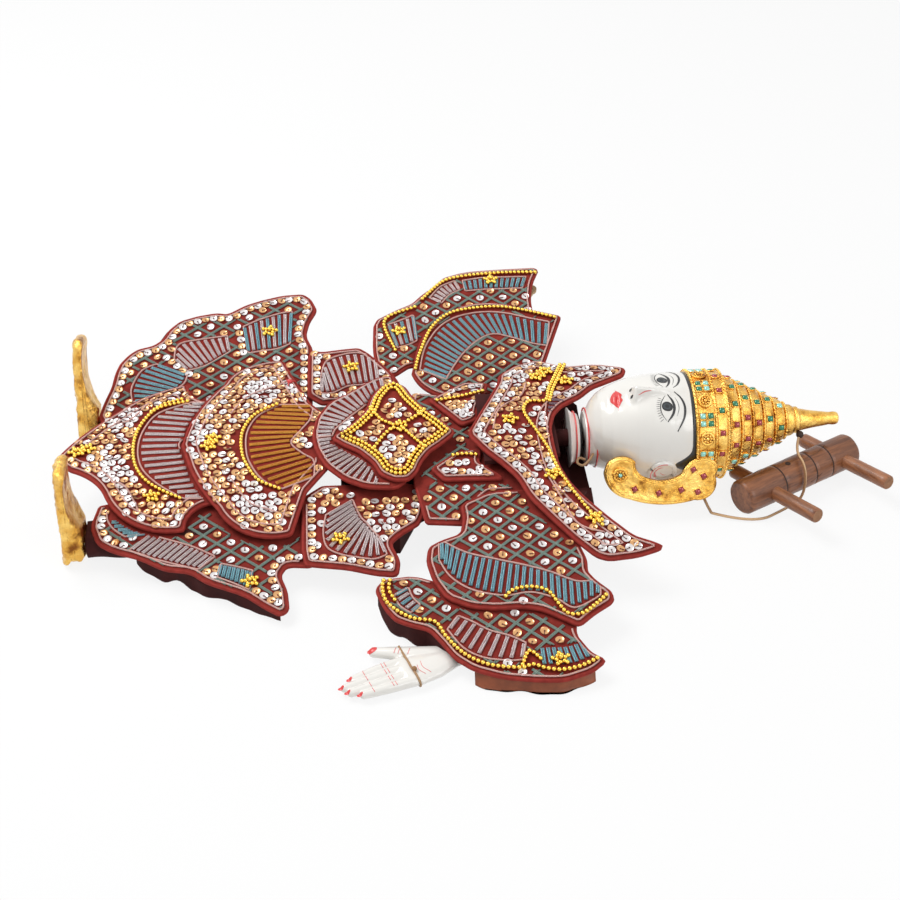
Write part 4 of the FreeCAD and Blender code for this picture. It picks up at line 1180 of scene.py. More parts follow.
def block_template(w, d, h, bevel):
    """Faceted stone: a square base with a smaller flat table on top."""
    verts = []
    for half_w, half_d, z in ((w, d, 0), (w, d, h * 0.45), (w - bevel, d - bevel, h)):
        verts += [(-half_w, -half_d, z), (half_w, -half_d, z), (half_w, half_d, z),
                  (-half_w, half_d, z)]
    faces = [(8, 9, 10, 11), (3, 2, 1, 0)]
    for k in (0, 4):
        for i in range(4):
            j = (i + 1) % 4
            faces.append((k + i, k + j, k + 4 + j, k + 4 + i))
    return np.array(verts, float), faces


STONE = block_template(1.75, 1.75, 1.5, 0.6)
GRAIN = ball_template(0.8, 6, 4)


def place_oriented(bag, template, place, up, forward, material):
    verts, faces = template
    up = np.array(up, float) / np.linalg.norm(up)
    first = np.array(forward, float) - up * np.dot(forward, up)
    first /= np.linalg.norm(first)
    bag.add(np.array(place) + verts @ np.stack([first, np.cross(up, first), up]), faces, material)


def set_stone(bag, place, up, forward, material):
    """Square stone in a low frame of four short rods between its corners."""
    place, up = np.array(place, float), np.array(up, float)
    place_oriented(bag, STONE, place, up, forward, material)
    side = np.cross(up, forward)
    side /= np.linalg.norm(side)
    forward = np.cross(side, up)
    corners = [place + forward * a * 2.15 + side * b * 2.15 + up * 0.35
               for a, b in ((1, 1), (1, -1), (-1, -1), (-1, 1))]
    for start, end in zip(corners, corners[1:] + corners[:1]):
        bag.tube(np.array([start, (start + end) / 2, end]), 0.42, "leaf", 6)


def rosette(bag, place, up, forward, size=1.0, stone=None):
    place, up, forward = (np.array(v, float) for v in (place, up, forward))
    side = np.cross(up, forward)
    side /= np.linalg.norm(side)
    forward = np.cross(side, up)
    turn = np.arange(24) * 2 * math.pi / 24
    ring = (np.cos(turn)[:, None] * forward + np.sin(turn)[:, None] * side)
    bag.tube(place + ring * 3.3 * size + up * 0.5, 0.85 * size, "leaf", 8, True)
    for a in np.arange(8) * math.pi / 4:
        spot = place + (forward * math.cos(a) + side * math.sin(a)) * 1.9 * size + up * 0.7
        bag.scatter(GRAIN, spot, up, "leaf", scale=size, spin=False)
    bag.scatter(GRAIN, place + up * 1.0, up, stone or "leaf", scale=1.5 * size, spin=False)


BROW_X = 168.2


def crown_point(x, radius, angle):
    up = np.array([0.0, math.sin(angle), math.cos(angle)])
    return np.array([BROW_X + x, 0.0, HEAD_Z]) + up * radius, up


FACE_R = np.array([(88.5, 0.0), (89.2, 6.5), (91, 12.5), (94, 18.0), (99, 23.4), (105, 26.9),
                   (112, 29.2), (122, 31.6), (132, 33.2), (142, 33.9), (152, 33.7), (168.2, 32.4)])
SKULL_R = np.array([(96.9, 0.0), (98, 9.0), (101, 17.5), (106, 24.8), (114, 30.2), (122, 33.2),
                    (130, 34.5), (142, 35.1), (150, 35.1), (160, 33.8), (168.2, 31.6)])


def skull_at(x, t, lift=0.0):
    """Plain head outline (no features) at angle t round the head, from the face."""
    d = np.array([math.sin(t), math.cos(t)])
    reach = []
    for table, centre in ((FACE_R, np.array([0, 2.5])), (SKULL_R, np.array([0, -3.5]))):
        radius = np.interp(x, table[:, 0], table[:, 1])
        if radius < 0.2:
            reach.append(0.01)
            continue
        dot = d @ centre
        reach.append(dot + math.sqrt(max(dot * dot + radius * radius - centre @ centre, 0)))
    r = (reach[0] ** 10 + reach[1] ** 10) ** 0.1 + lift
    return r * d[0], r * d[1] - 1.0


ROLL = math.radians(15.0)


def head_world(points):
    """From head coordinates (x, across, up from the head axis) to puppet coordinates."""
    p = np.atleast_2d(np.asarray(points, float))
    c, s = math.cos(ROLL), math.sin(ROLL)
    return np.stack([p[:, 0], p[:, 1] * c - p[:, 2] * s, p[:, 1] * s + p[:, 2] * c + HEAD_Z], 1)


bag = Bag()
rows = []
for k in range(181):
    t = math.radians(-180 + 2 * k)
    low = 156.6 - 12.0 * math.exp(-((abs(math.degrees(t)) - 84) / 9.5) ** 2)
    for j in range(7):
        x = low + (161.0 - low) * j / 6
        rows.append((x, *skull_at(x, t, 0.35 if 0 < j else -0.2)))
bag.add(head_world(rows), [(i * 7 + j, i * 7 + j + 1, i * 7 + 8 + j, i * 7 + 7 + j)
                           for i in range(180) for j in range(6)], "hair")
attach(bag.build("hair_band_paint"), "head", ["hair_band"])

bag = Bag()
lathe(bag, rounded_profile([(-9.3, 34.0), (-9.2, 36.0), (-8.2, 36.9), (-7.2, 36.2), (-6.2, 35.7),
                            (2.4, 35.7), (3.4, 36.3), (4.3, 37.0), (5.2, 36.2), (6.2, 35.6),
                            (10.8, 35.4), (11.8, 36.0), (12.6, 36.6), (13.4, 36.0),
                            (13.7, 33.5)]), (BROW_X, 0, HEAD_Z), "leaf",
      rib=lambda x, a: 3.2 * (0.5 - 0.5 * math.cos(a)) * min(max((6 - x) / 15, 0), 1))
for i in range(76):
    for x, r in ((-8.2, 36.7), (4.3, 36.8), (12.7, 36.5)):
        place, up = crown_point(x, r + 3.2 * (0.5 - 0.5 * math.cos(i * math.pi / 38))
                                * min(max((6 - x) / 15, 0), 1), i * math.pi / 38)
        bag.scatter(GRAIN, place, up, "leaf", scale=1.15, spin=False)
for i in range(9):
    angle = math.radians(-88 + 40 * i + 18)
    extra = 1.7 * (0.5 - 0.5 * math.cos(angle))
    place, up = crown_point(-1.9, 35.7 + extra, angle)
    rosette(bag, place, up, (1, 0, 0), 1.2)
    for turn in (15.5, 23.5):
        for x in (-4.6, 0.6):
            spot = angle + math.radians(turn)
            place, up = crown_point(x, 35.7 + extra, spot)
            set_stone(bag, place, up, (1, 0, 0), ("stone_mint", "stone_green", "stone_mint")[
                (i + (x > 0)) % 3])
for i in range(15):
    place, up = crown_point(8.5, 35.4, math.radians(24 * i + 7))
    set_stone(bag, place, up, (1, 0, 0), ("stone_red", "stone_green", "stone_red")[i % 3])
for v in bag.verts:
    v[:, 2] = np.maximum(v[:, 2], 0.3)
attach(bag.build("crown_band_gilded"), "head", ["crown_band"])

bag = Bag()
TIER_START, TIERS, CROWN_LEN = 13.7, 6, 96.0
TIER_STEP = (CROWN_LEN * 0.675 - TIER_START) / TIERS
profile = []
for i in range(TIERS):
    radius = 36.0 - 3.4 - i * 25.0 / TIERS
    x = TIER_START + i * TIER_STEP
    profile += [(x, radius - 1.6), (x + 0.3, radius - 0.1), (x + 1.2, radius + 0.7),
                (x + 2.1, radius - 0.2), (x + 2.6, radius - 1.0), (x + TIER_STEP * 0.62,
                radius - 1.2), (x + TIER_STEP * 0.8, radius - 1.9), (x + TIER_STEP * 0.97,
                radius - 3.2)]
lathe(bag, rounded_profile(profile, 3), (BROW_X, 0, HEAD_Z), "leaf",
      rib=lambda x, a: 0.12 * math.sin(a * 40))
for i in range(TIERS):
    radius = 36.0 - 3.4 - i * 25.0 / TIERS
    x = TIER_START + i * TIER_STEP
    grains = int(2 * math.pi * radius / 2.6)
    for k in range(grains):
        place, up = crown_point(x + 1.2, radius + 0.4, k * 2 * math.pi / grains)
        bag.scatter(GRAIN, place, up, "leaf", scale=1.1, spin=False)
    stones = max(4, int(2 * math.pi * radius / 14.5)) if i < TIERS - 1 else 0
    for k in range(stones):
        angle = 2 * math.pi * k / stones + 0.9 * i + 0.35
        place, up = crown_point(x + 5.0, radius - 1.3, angle)
        color = ("stone_red", "stone_green", "stone_red", "stone_mint", "stone_green")[
            (k * 2 + i) % 5]
        set_stone(bag, place, up, (1, 0, 0), color)
attach(bag.build("crown_tiers_gilded"), "head", ["crown_tiers"])

bag = Bag()
end = TIER_START + TIERS * TIER_STEP
lathe(bag, rounded_profile([(end - 1.2, 8.0), (end, 8.9), (end + 2, 9.0), (end + 3.5, 7.7),
                            (end + 12, 6.0), (end + 20, 4.9), (CROWN_LEN - 7, 4.3),
                            (CROWN_LEN - 4, 4.5), (CROWN_LEN - 1.5, 3.9),
                            (CROWN_LEN - 0.4, 2.2), (CROWN_LEN, 0.05)]),
      (BROW_X, 0, HEAD_Z), "leaf", 48)
attach(bag.build("crown_spire_gilded"), "head", ["crown_spire"])

# ---------------------------------------------------------------- head
NOSE = np.array([(116.5, 0.0), (118.5, 2.0), (120.0, 6.2), (121.5, 7.9), (123.5, 7.3),
                 (128, 5.4), (134, 3.6), (141, 2.2), (148, 1.2), (156, 0.2), (160, 0.0)])
NOSE_W = np.array([(116, 3.6), (121, 3.4), (128, 2.5), (136, 2.1), (145, 2.8), (156, 4.5)])


def hill(x, y, cx, cy, sx, sy, height):
    return height * math.exp(-((x - cx) / sx) ** 2 - ((y - cy) / sy) ** 2)


def face_relief(x, y):
    nose = np.interp(x, NOSE[:, 0], NOSE[:, 1])
    width = np.interp(x, NOSE_W[:, 0], NOSE_W[:, 1])
    h = nose * math.exp(-abs(y / width) ** 2.2)
    for side in (-1, 1):
        h += hill(x, y, 120.6, side * 4.3, 2.3, 2.0, 2.6)
        h -= hill(x, y, 142, side * 11, 5.0, 7.0, 1.5)
        h += hill(x, y, 140.5, side * 12, 2.6, 6.0, 1.0)
        h += hill(x, y, 124, side * 16, 11, 8, 0.9)
        h += hill(x, y, 110.9, side * 2.6, 1.6, 3.0, 0.9)
    h += hill(x, y, 107.6, 0, 1.7, 4.8, 1.7)
    h -= hill(x, y, 109.4, 0, 0.7, 6.0, 0.9)
    h -= hill(x, y, 104.4, 0, 1.8, 6.0, 0.9)
    h += hill(x, y, 98.5, 0, 4.5, 6.5, 1.2)
    return h


bag = Bag()
stations = np.concatenate([88.5 + 8 * (np.arange(14) / 14) ** 2, np.arange(97, 168.3, 0.9),
                           [168.2]])
AROUND = 200
verts = []
for x in stations:
    for k in range(AROUND):
        t = 2 * math.pi * k / AROUND
        y, z = skull_at(x, t)
        if math.cos(t) > 0.2 and x > 95:
            z += face_relief(x, y)
        verts.append((x, y, z))
faces = []
for i in range(len(stations) - 1):
    for k in range(AROUND):
        m = (k + 1) % AROUND
        faces.append((i * AROUND + k, (i + 1) * AROUND + k, (i + 1) * AROUND + m, i * AROUND + m))
head_verts = head_world(verts)
bag.add(head_verts, faces, "face")
head_tree = BVHTree.FromPolygons([tuple(v) for v in head_verts], faces)
head_ahead = head_world([(0, 0, 1)])[0] - head_world([(0, 0, 0)])[0]

NECK = np.array([87.5, 0.0, 34.0])
lathe(bag, rounded_profile([(2.2, 7.6), (2.2, 16.2), (2.9, 17.6), (5.5, 19.0), (10, 20.6),
                            (16, 22.4), (22, 24.5)]), NECK, "face", 64)
for x, r in ((3.6, 19.5), (9.2, 20.6)):
    turn = np.linspace(0, 2 * math.pi, 65)[:-1]
    ring = NECK + np.stack([x + 0 * turn, r * np.sin(turn), r * np.cos(turn)], 1)
    bag.tube(ring, 0.6, "red_paint", 6, True, 1.0)


def on_head(x, y, lift=0.12):
    """Point of the face skin over (x, y) of the face, and the way out of it."""
    start = head_world([(x, y, 60)])[0]
    hit, normal, _, _ = head_tree.ray_cast(Vector(start), Vector(-head_ahead))
    if hit is None:
        return head_world([(x, y, 20)])[0], head_ahead
    normal = np.array(normal)
    if normal @ head_ahead < 0:
        normal = -normal
    return np.array(hit) + normal * lift, normal


def paint(outline, material, lift=0.12, step=0.7):
    """Flat painted patch wrapped onto the face."""
    ring = resample(smooth(outline, True), 0.6, True)
    if area_of(ring) < 0:
        ring = ring[::-1]
    points, tris = triangulate(ring, step)
    bag.add(np.array([on_head(x, y, lift)[0] for x, y in points]), tris, material)


def stroke(points, width, material, lift=0.14, taper=True):
    """Brush line wrapped onto the face, thinning toward its ends."""
    line = resample(smooth(points), 0.5)
    way = np.gradient(line, axis=0)
    way /= np.linalg.norm(way, axis=1)[:, None] + 1e-9
    across = np.stack([-way[:, 1], way[:, 0]], 1)
    t = np.linspace(0, 1, len(line))
    half = width / 2 * (np.sin(math.pi * np.clip(t, 0.06, 0.94)) ** 0.6 if taper else 1.0)
    half = np.broadcast_to(half, t.shape)
    left, right = line + across * half[:, None], line - across * half[:, None]
    spots = [on_head(x, y, lift)[0] for x, y in np.vstack([left, right])]
    n = len(line)
    bag.add(np.array(spots), [(i, i + 1, n + i + 1, n + i) for i in range(n - 1)], material)


for side in (-1, 1):
    lid = [(142.0, 3.2), (144.6, 7.2), (145.6, 12.0), (144.2, 16.6), (140.4, 21.0)]
    low = [(140.4, 3.8), (137.6, 7.8), (136.4, 12.0), (137.0, 16.2), (139.6, 20.2)]
    stroke([(x, side * y) for x, y in lid], 1.7, "ink")
    stroke([(x, side * y) for x, y in low], 0.6, "ink")
    iris = [(141.0 + 3.7 * math.cos(a), side * (11.4 + 3.3 * math.sin(a)))
            for a in np.arange(14) * math.pi / 7]
    paint(iris, "ink", 0.14)
    inner = [(140.6 + 2.5 * math.cos(a), side * (11.4 + 2.2 * math.sin(a)))
             for a in np.arange(12) * math.pi / 6]
    paint(inner, "grey_paint", 0.20)
    pupil = [(140.8 + 1.3 * math.cos(a), side * (11.4 + 1.2 * math.sin(a)))
             for a in np.arange(10) * math.pi / 5]
    paint(pupil, "ink", 0.26)
    for k in range(11):
        x, y = 136.2 + 0.07 * (k - 5) ** 2, 6.2 + 1.3 * k
        stroke([(x, side * y), (x - 2.6, side * (y + 0.25 * (k - 4)))], 0.26, "ink")
    brow = [(146.6, 1.8), (150.4, 6.0), (152.4, 12.4), (151.2, 19.4), (146.6, 26.0)]
    stroke([(x, side * y) for x, y in brow], 1.5, "ink")
    lid_line = [(146.6, 5.4), (148.2, 9.6), (148.4, 13.6), (146.8, 17.8)]
    stroke([(x, side * y) for x, y in lid_line], 0.35, "grey_paint")
    stroke([(122.6, side * 3.4), (127.0, side * 1.8), (131.5, side * 1.3)], 0.4, "pink_paint")
    # painted shade: dark ovals under the nose tip stand in for the shade inside the nostrils, which
    # are not cut
    paint([(118.6 + 0.8 * math.cos(a), side * (2.9 + 1.1 * math.sin(a)))
           for a in np.arange(8) * math.pi / 4], "ink", 0.1)
paint([(109.6, -7.6), (111.6, -4.6), (113.0, -2.2), (112.2, 0), (113.0, 2.2), (111.6, 4.6),
       (109.6, 7.6), (109.3, 3), (109.5, 0), (109.3, -3)], "red_paint", 0.16)
paint([(109.2, -6.8), (109.1, -3), (109.3, 0), (109.1, 3), (109.2, 6.8), (107.2, 4.6),
       (105.6, 1.8), (105.4, 0), (105.6, -1.8), (107.2, -4.6)], "red_paint", 0.16)
stroke([(109.7, -9.2), (109.3, -4), (109.3, 4), (109.7, 9.2)], 0.35, "red_paint", 0.24)

for side in (-1, 1):
    rim = [(131.0, -9.0), (130.2, -2.5), (133.5, 3.4), (139.0, 5.4), (144.6, 2.6), (146.4, -4.0),
           (142.8, -10.4), (136.0, -13.4)]
    ear = smooth(rim, True, 4)
    base = np.array([(x, side * 34.6, z) for x, z in ear])
    bag.tube(head_world(base + np.array([0, side * 1.6, 0])), 1.7, "face", 10, True)
    plate = np.array([(138.3, side * 34.8, -4.2)] + [(x, side * 35.0, z) for x, z in ear])
    fan = [(0, 1 + i, 1 + (i + 1) % len(ear)) for i in range(len(ear))]
    bag.add(head_world(plate), fan, "face")
    curl = [(134.0, -8.6), (133.2, -3.6), (136.6, 0.6), (141.4, 0.2), (142.6, -4.2),
            (139.4, -6.8), (136.8, -4.4)]
    bag.tube(head_world([(x, side * 35.8, z) for x, z in smooth(curl)]), 0.8, "pink_paint", 6)
    edge = [(x + 0.2, side * 37.4, z) for x, z in ear[:14]]
    bag.tube(head_world(edge), 0.6, "pink_paint", 6)
attach(bag.build("head_lacquered"), "head", ["head"])

bag = Bag()
lathe(bag, rounded_profile([(79.2, 6.5), (79.2, 19.4), (80.0, 19.2), (82.0, 17.4), (84.4, 16.4),
                            (85.4, 15.8), (85.8, 14.8), (85.8, 6.5)]), (0, 0, 34.0), "face", 64)
turn = np.linspace(0, 2 * math.pi, 65)[:-1]
bag.tube(np.stack([83.4 + 0 * turn, 17.5 * np.sin(turn), 34.0 + 17.5 * np.cos(turn)], 1), 0.5,
         "red_paint", 6, True)
lathe(bag, [(85.7, 12.6), (87.6, 12.2), (87.6, 7.0)], (0, 0, 34.0), "ink", 48)
for v in bag.verts:
    v[:, 2] = np.maximum(v[:, 2], 15.0)
attach(bag.build("neck_yoke_lacquered"), "torso", ["neck_yoke"])

# ---------------------------------------------------------------- ear ornaments
ORNAMENT = [
    (100, 2), ((110, -3), (119, 1)), ((121, 9), (127, 13)), ((140, 15), (150, 11)),
    ((154, 4), (162, 0)), ((172, 4), (172, 14)), ((170, 26), (158, 30)),
    ((134, 32), (114, 27)), ((101, 18), (98, 8))]


class Plate:
    """Plane of an ear ornament: it hangs from the side of the head, its face outward."""

    def __init__(self, side):
        self.side = side
        self.tilt = math.radians(68)

    def at(self, uv, height=0.0):
        uv = np.atleast_2d(uv)
        h = height + 0 * uv[:, 0]
        c, s = math.cos(self.tilt), math.sin(self.tilt)
        return np.stack([uv[:, 0], self.side * (34.2 + uv[:, 1] * c + h * s),
                         HEAD_Z - 1.5 - uv[:, 1] * s * 0.95 + h * c], 1)

    def up(self, uv):
        one = [0.0, self.side * math.sin(self.tilt), math.cos(self.tilt)]
        return np.tile(np.array(one), (len(np.atleast_2d(uv)), 1))


for side, word in ((-1, "left"), (1, "right")):
    bag = Bag()
    plate = Plate(side)
    outline = expand(ORNAMENT)
    ring = resample(outline, 1.2, True)
    if area_of(ring) < 0:
        ring = ring[::-1]
    verts, faces = triangulate(ring, 1.5)
    depth = distance(verts, ring)
    swell = 1.6 * np.minimum(depth / 2.2, 1.0) ** 0.5 - 0.5 * np.clip((depth - 3.2) / 2, 0, 1)
    upper, lower = plate.at(verts, 3.2 + swell), plate.at(verts, 0.2)
    flip = side > 0
    bag.add(upper, [f[::-1] for f in faces] if not flip else faces, "leaf")
    bag.add(lower, faces if not flip else [f[::-1] for f in faces], "leaf")
    n = len(ring)
    rim = np.vstack([upper[:n], lower[:n]])
    walls = [(i, (i + 1) % n, n + (i + 1) % n, n + i) for i in range(n)]
    bag.add(rim, walls, "leaf")
    for x, v, size in ((108.5, 9.5, 1.25), (163.0, 15.0, 0.0)):
        if size:
            rosette(bag, plate.at([x, v], 4.0)[0], plate.up([x, v])[0], (1, 0, 0), size,
                    "stone_mint")
    for x, v in ((118, 20), (134, 23.5), (149, 22), (160, 24), (164, 13), (157, 8)):
        set_stone(bag, plate.at([x, v], 4.0)[0], plate.up([x, v])[0], (0.7, 0.7, 0.1),
                  "stone_red")
    inner = inset(outline, 1.5)
    bag.tube(plate.at(inner, 4.3), 0.7, "leaf", 6, True)
    attach(bag.build("ear_ornament_%s_gilded" % word), "head",
           ["ear_ornament_" + word])

# ---------------------------------------------------------------- control bar
BAR_LEN = 98.0


def turned_rod(bag, start, way, profile, material, around=40, rough_amount=0.0, cap=None):
    way = np.array(way, float) / np.linalg.norm(way)
    side = np.cross(way, [0, 0, 1.0])
    side /= np.linalg.norm(side)
    over = np.cross(side, way)
    verts = []
    for x, r in profile:
        for k in range(around):
            a = 2 * math.pi * k / around
            wobble = rough_amount * (math.sin(3 * a + x / 9) + 0.5 * math.sin(5 * a - x / 6))
            verts.append(start + way * x + (side * math.cos(a) + over * math.sin(a))
                         * (r - abs(wobble)))
    n = len(profile)
    faces = [(i * around + k, (i + 1) * around + k, (i + 1) * around + (k + 1) % around,
              i * around + (k + 1) % around) for i in range(n - 1) for k in range(around)]
    if cap is None:
        faces += [tuple(range(around)), tuple((n - 1) * around + k for k in range(around))[::-1]]
    bag.add(np.array(verts), faces, material)
    if cap:
        bag.add(np.array(verts)[:around], [tuple(range(around))], cap)
        bag.add(np.array(verts)[-around:], [tuple(range(around))[::-1]], cap)


bag = Bag()
profile = [(0.0, 10.2), (0.7, 11.2), (2.0, 11.9)]
for groove in (31.0, 58.0, 73.0):
    profile += [(groove - 0.9, 12.0), (groove - 0.4, 11.5), (groove + 0.4, 11.5),
                (groove + 0.9, 12.0)]
profile += [(BAR_LEN - 2.0, 11.9), (BAR_LEN - 0.7, 11.2), (BAR_LEN, 10.2)]
steps = sorted(set([p[0] for p in profile] + list(np.arange(4, 95, 3.0))))
p = np.array(profile)
turned_rod(bag, bar_left, along, [(x, float(np.interp(x, p[:, 0], p[:, 1]))) for x in steps],
           "bar_wood", 56, 0.10, "bar_wood")
for groove in (31.0, 58.0, 73.0):
    turned_rod(bag, bar_left + along * (groove - 0.45), along, [(0, 11.62), (0.9, 11.62)],
               "burnt_and_hole_shade", 56, 0.0, "burnt_and_hole_shade")
# painted shade: a dark disc and rim on the top of the bar stand in for the shade inside the hole,
# which is not cut
hole = bar_left + along * 40 + np.array([0, 0, 11.3])
turn = np.linspace(0, 2 * math.pi, 25)[:-1]
bag.tube(hole + np.stack([1.6 * np.cos(turn), 1.6 * np.sin(turn), 0.62 + 0 * turn], 1), 0.28,
         "burnt_and_hole_shade", 6, True)
disc = np.vstack([[0, 0, 0.72], np.stack([1.5 * np.cos(turn), 1.5 * np.sin(turn),
                                          0.72 + 0 * turn], 1)])
bag.add(hole + disc, [(0, 1 + i, 1 + (i + 1) % 24) for i in range(24)], "burnt_and_hole_shade")
for place, size in ((16.0, 0.5), (34.0, 0.35), (52.0, 0.45), (66.0, 0.35)):
    a = 0.4 + place / 9
    side_way = across_near * math.cos(a) + np.array([0, 0, 1.0]) * math.sin(a)
    crack = [bar_left + along * (place + t) + (across_near * math.cos(a + 0.03 * t)
             + np.array([0, 0, 1.0]) * math.sin(a + 0.03 * t)) * 11.9 for t in range(0, 12, 2)]
    bag.tube(np.array(crack), size * 0.4, "burnt_and_hole_shade", 5)
attach(bag.build("control_bar_turned"), "control", ["control_bar"])
ROCK = math.radians(9.0)
dowel_way = across_near * math.cos(ROCK) + np.array([0, 0, 1.0]) * math.sin(ROCK)
for station, word in ((21.0, "inner"), (85.0, "outer")):
    bag = Bag()
    start = bar_left + along * station - dowel_way * 30.5
    turned_rod(bag, start, dowel_way, [(0, 4.3), (0.6, 4.9)]
               + [(x, 5.0) for x in np.arange(4, 78, 6.0)] + [(79.9, 4.9), (80.5, 4.3)],
               "dowel_wood", 36, 0.05, "end_grain")
    attach(bag.build("bar_dowel_%s_turned" % word), "control", ["bar_dowel_" + word])


# ---------------------------------------------------------------- hands
def fused(name, chains, voxel, smoothing, material):
    """One skin grown round chains of (x, y, z, radius_y, radius_z) in local millimetres."""
    work = Bag()
    for chain in chains:
        chain = np.array(chain, float)
        run = np.linspace(0, 1, len(chain))
        fine = np.linspace(0, 1, (len(chain) - 1) * 5 + 1)
        line = np.stack([np.interp(fine, run, chain[:, k]) for k in range(5)], 1)
        way = np.gradient(line[:, :3], axis=0)
        way /= np.linalg.norm(way, axis=1)[:, None]
        side = np.cross(way, [0, 0, 1.0])
        side /= np.linalg.norm(side, axis=1)[:, None]
        over = np.cross(side, way)
        turn = np.arange(14) * 2 * math.pi / 14
        rings = [line[0, :3] - way[0] * line[0, 3] * 0.8 + 0 * turn[:, None]]
        for i in range(len(line)):
            rings.append(line[i, :3] + side[i] * (np.cos(turn) * line[i, 3])[:, None]
                         + over[i] * (np.sin(turn) * line[i, 4])[:, None])
        rings.append(line[-1, :3] + way[-1] * line[-1, 3] * 0.9 + 0 * turn[:, None])
        verts = np.vstack(rings)
        m = len(rings)
        faces = [(i * 14 + k, (i + 1) * 14 + k, (i + 1) * 14 + (k + 1) % 14, i * 14 + (k + 1) % 14)
                 for i in range(m - 1) for k in range(14)]
        work.add(verts, faces, material)
    rough = bpy.data.meshes.new(name + "_rough")
    rough.from_pydata((np.vstack(work.verts) / 1000).tolist(), [], work.faces)
    made = bpy.data.objects.new(name + "_rough", rough)
    bpy.context.scene.collection.objects.link(made)
    remesh = made.modifiers.new("skin", "REMESH")
    remesh.mode = "VOXEL"
    remesh.voxel_size = voxel / 1000
    soften = made.modifiers.new("soften", "SMOOTH")
    soften.factor = 0.6
    soften.iterations = smoothing
    bpy.context.view_layer.update()
    shaped = made.evaluated_get(bpy.context.evaluated_depsgraph_get()).to_mesh()
    verts = np.array([v.co[:] for v in shaped.vertices]) * 1000
    faces = [tuple(f.vertices) for f in shaped.polygons]
    bpy.data.objects.remove(made)
    return verts, faces


FINGERS = ((9.3, 7.2, 75, 3.2), (3.1, 2.5, 82.0, 3.3), (-3.2, -2.4, 80, 3.2), (-9.2, -7.0, 74, 3.0))


def hand_chains(s):
    """Palm, four fingers laid together and a thumb; s turns the thumb to one side."""
    chains = [
        [(-3, 0, 4.8, 6.4, 4.2), (10, 0, 4.8, 7.6, 4.4), (22, -0.6 * s, 4.8, 11.4, 4.5),
         (34, -0.6 * s, 4.7, 12.8, 4.3), (42, -0.4 * s, 4.6, 12.4, 3.8)],
        [(14, 5 * s, 4.8, 6.0, 4.2), (30, 12 * s, 4.8, 5.8, 4.0), (42, 19 * s, 4.6, 4.4, 3.5),
         (52, 24.5 * s, 4.4, 3.4, 2.8)]]
    for base, tip, end, r in FINGERS:
        chains.append([(38, base * s, 4.7, r + 0.15, 3.4), (56, (base * 0.62 + tip * 0.38) * s,
                       4.7, r, 3.2), (end - 3, tip * s, 4.3, r * 0.82, 2.6)])
    return chains


def hand_matrix(side):
    level, start, angle, drop = ((34.8, 60.0, -8.0, 13.8) if side < 0
                                 else (34.0, 48.0, 12.0, 15.2))
    tilt = math.radians(angle)
    upper, fore, turn = (112.0, 126.0, 160.0) if side < 0 else (125.0, 60.0, 170.0)
    out = (50.0 - start) / math.cos(tilt)
    point = np.array([70.0, out, -drop])
    point[:2] += 64 * np.array([math.cos(math.radians(upper)), math.sin(math.radians(upper))])
    point[:2] += 84 * np.array([math.cos(math.radians(fore)), math.sin(math.radians(fore))])
    y = side * (start + point[1] * math.cos(tilt) - point[2] * math.sin(tilt))
    z = level + point[1] * math.sin(tilt) + point[2] * math.cos(tilt)
    spin = Matrix.Rotation(side * math.radians(turn), 4, "Z")
    lean = Matrix.Rotation(0.0 if side < 0 else tilt, 4, "X")
    return Matrix.Translation((point[0], y, z)) @ lean @ spin


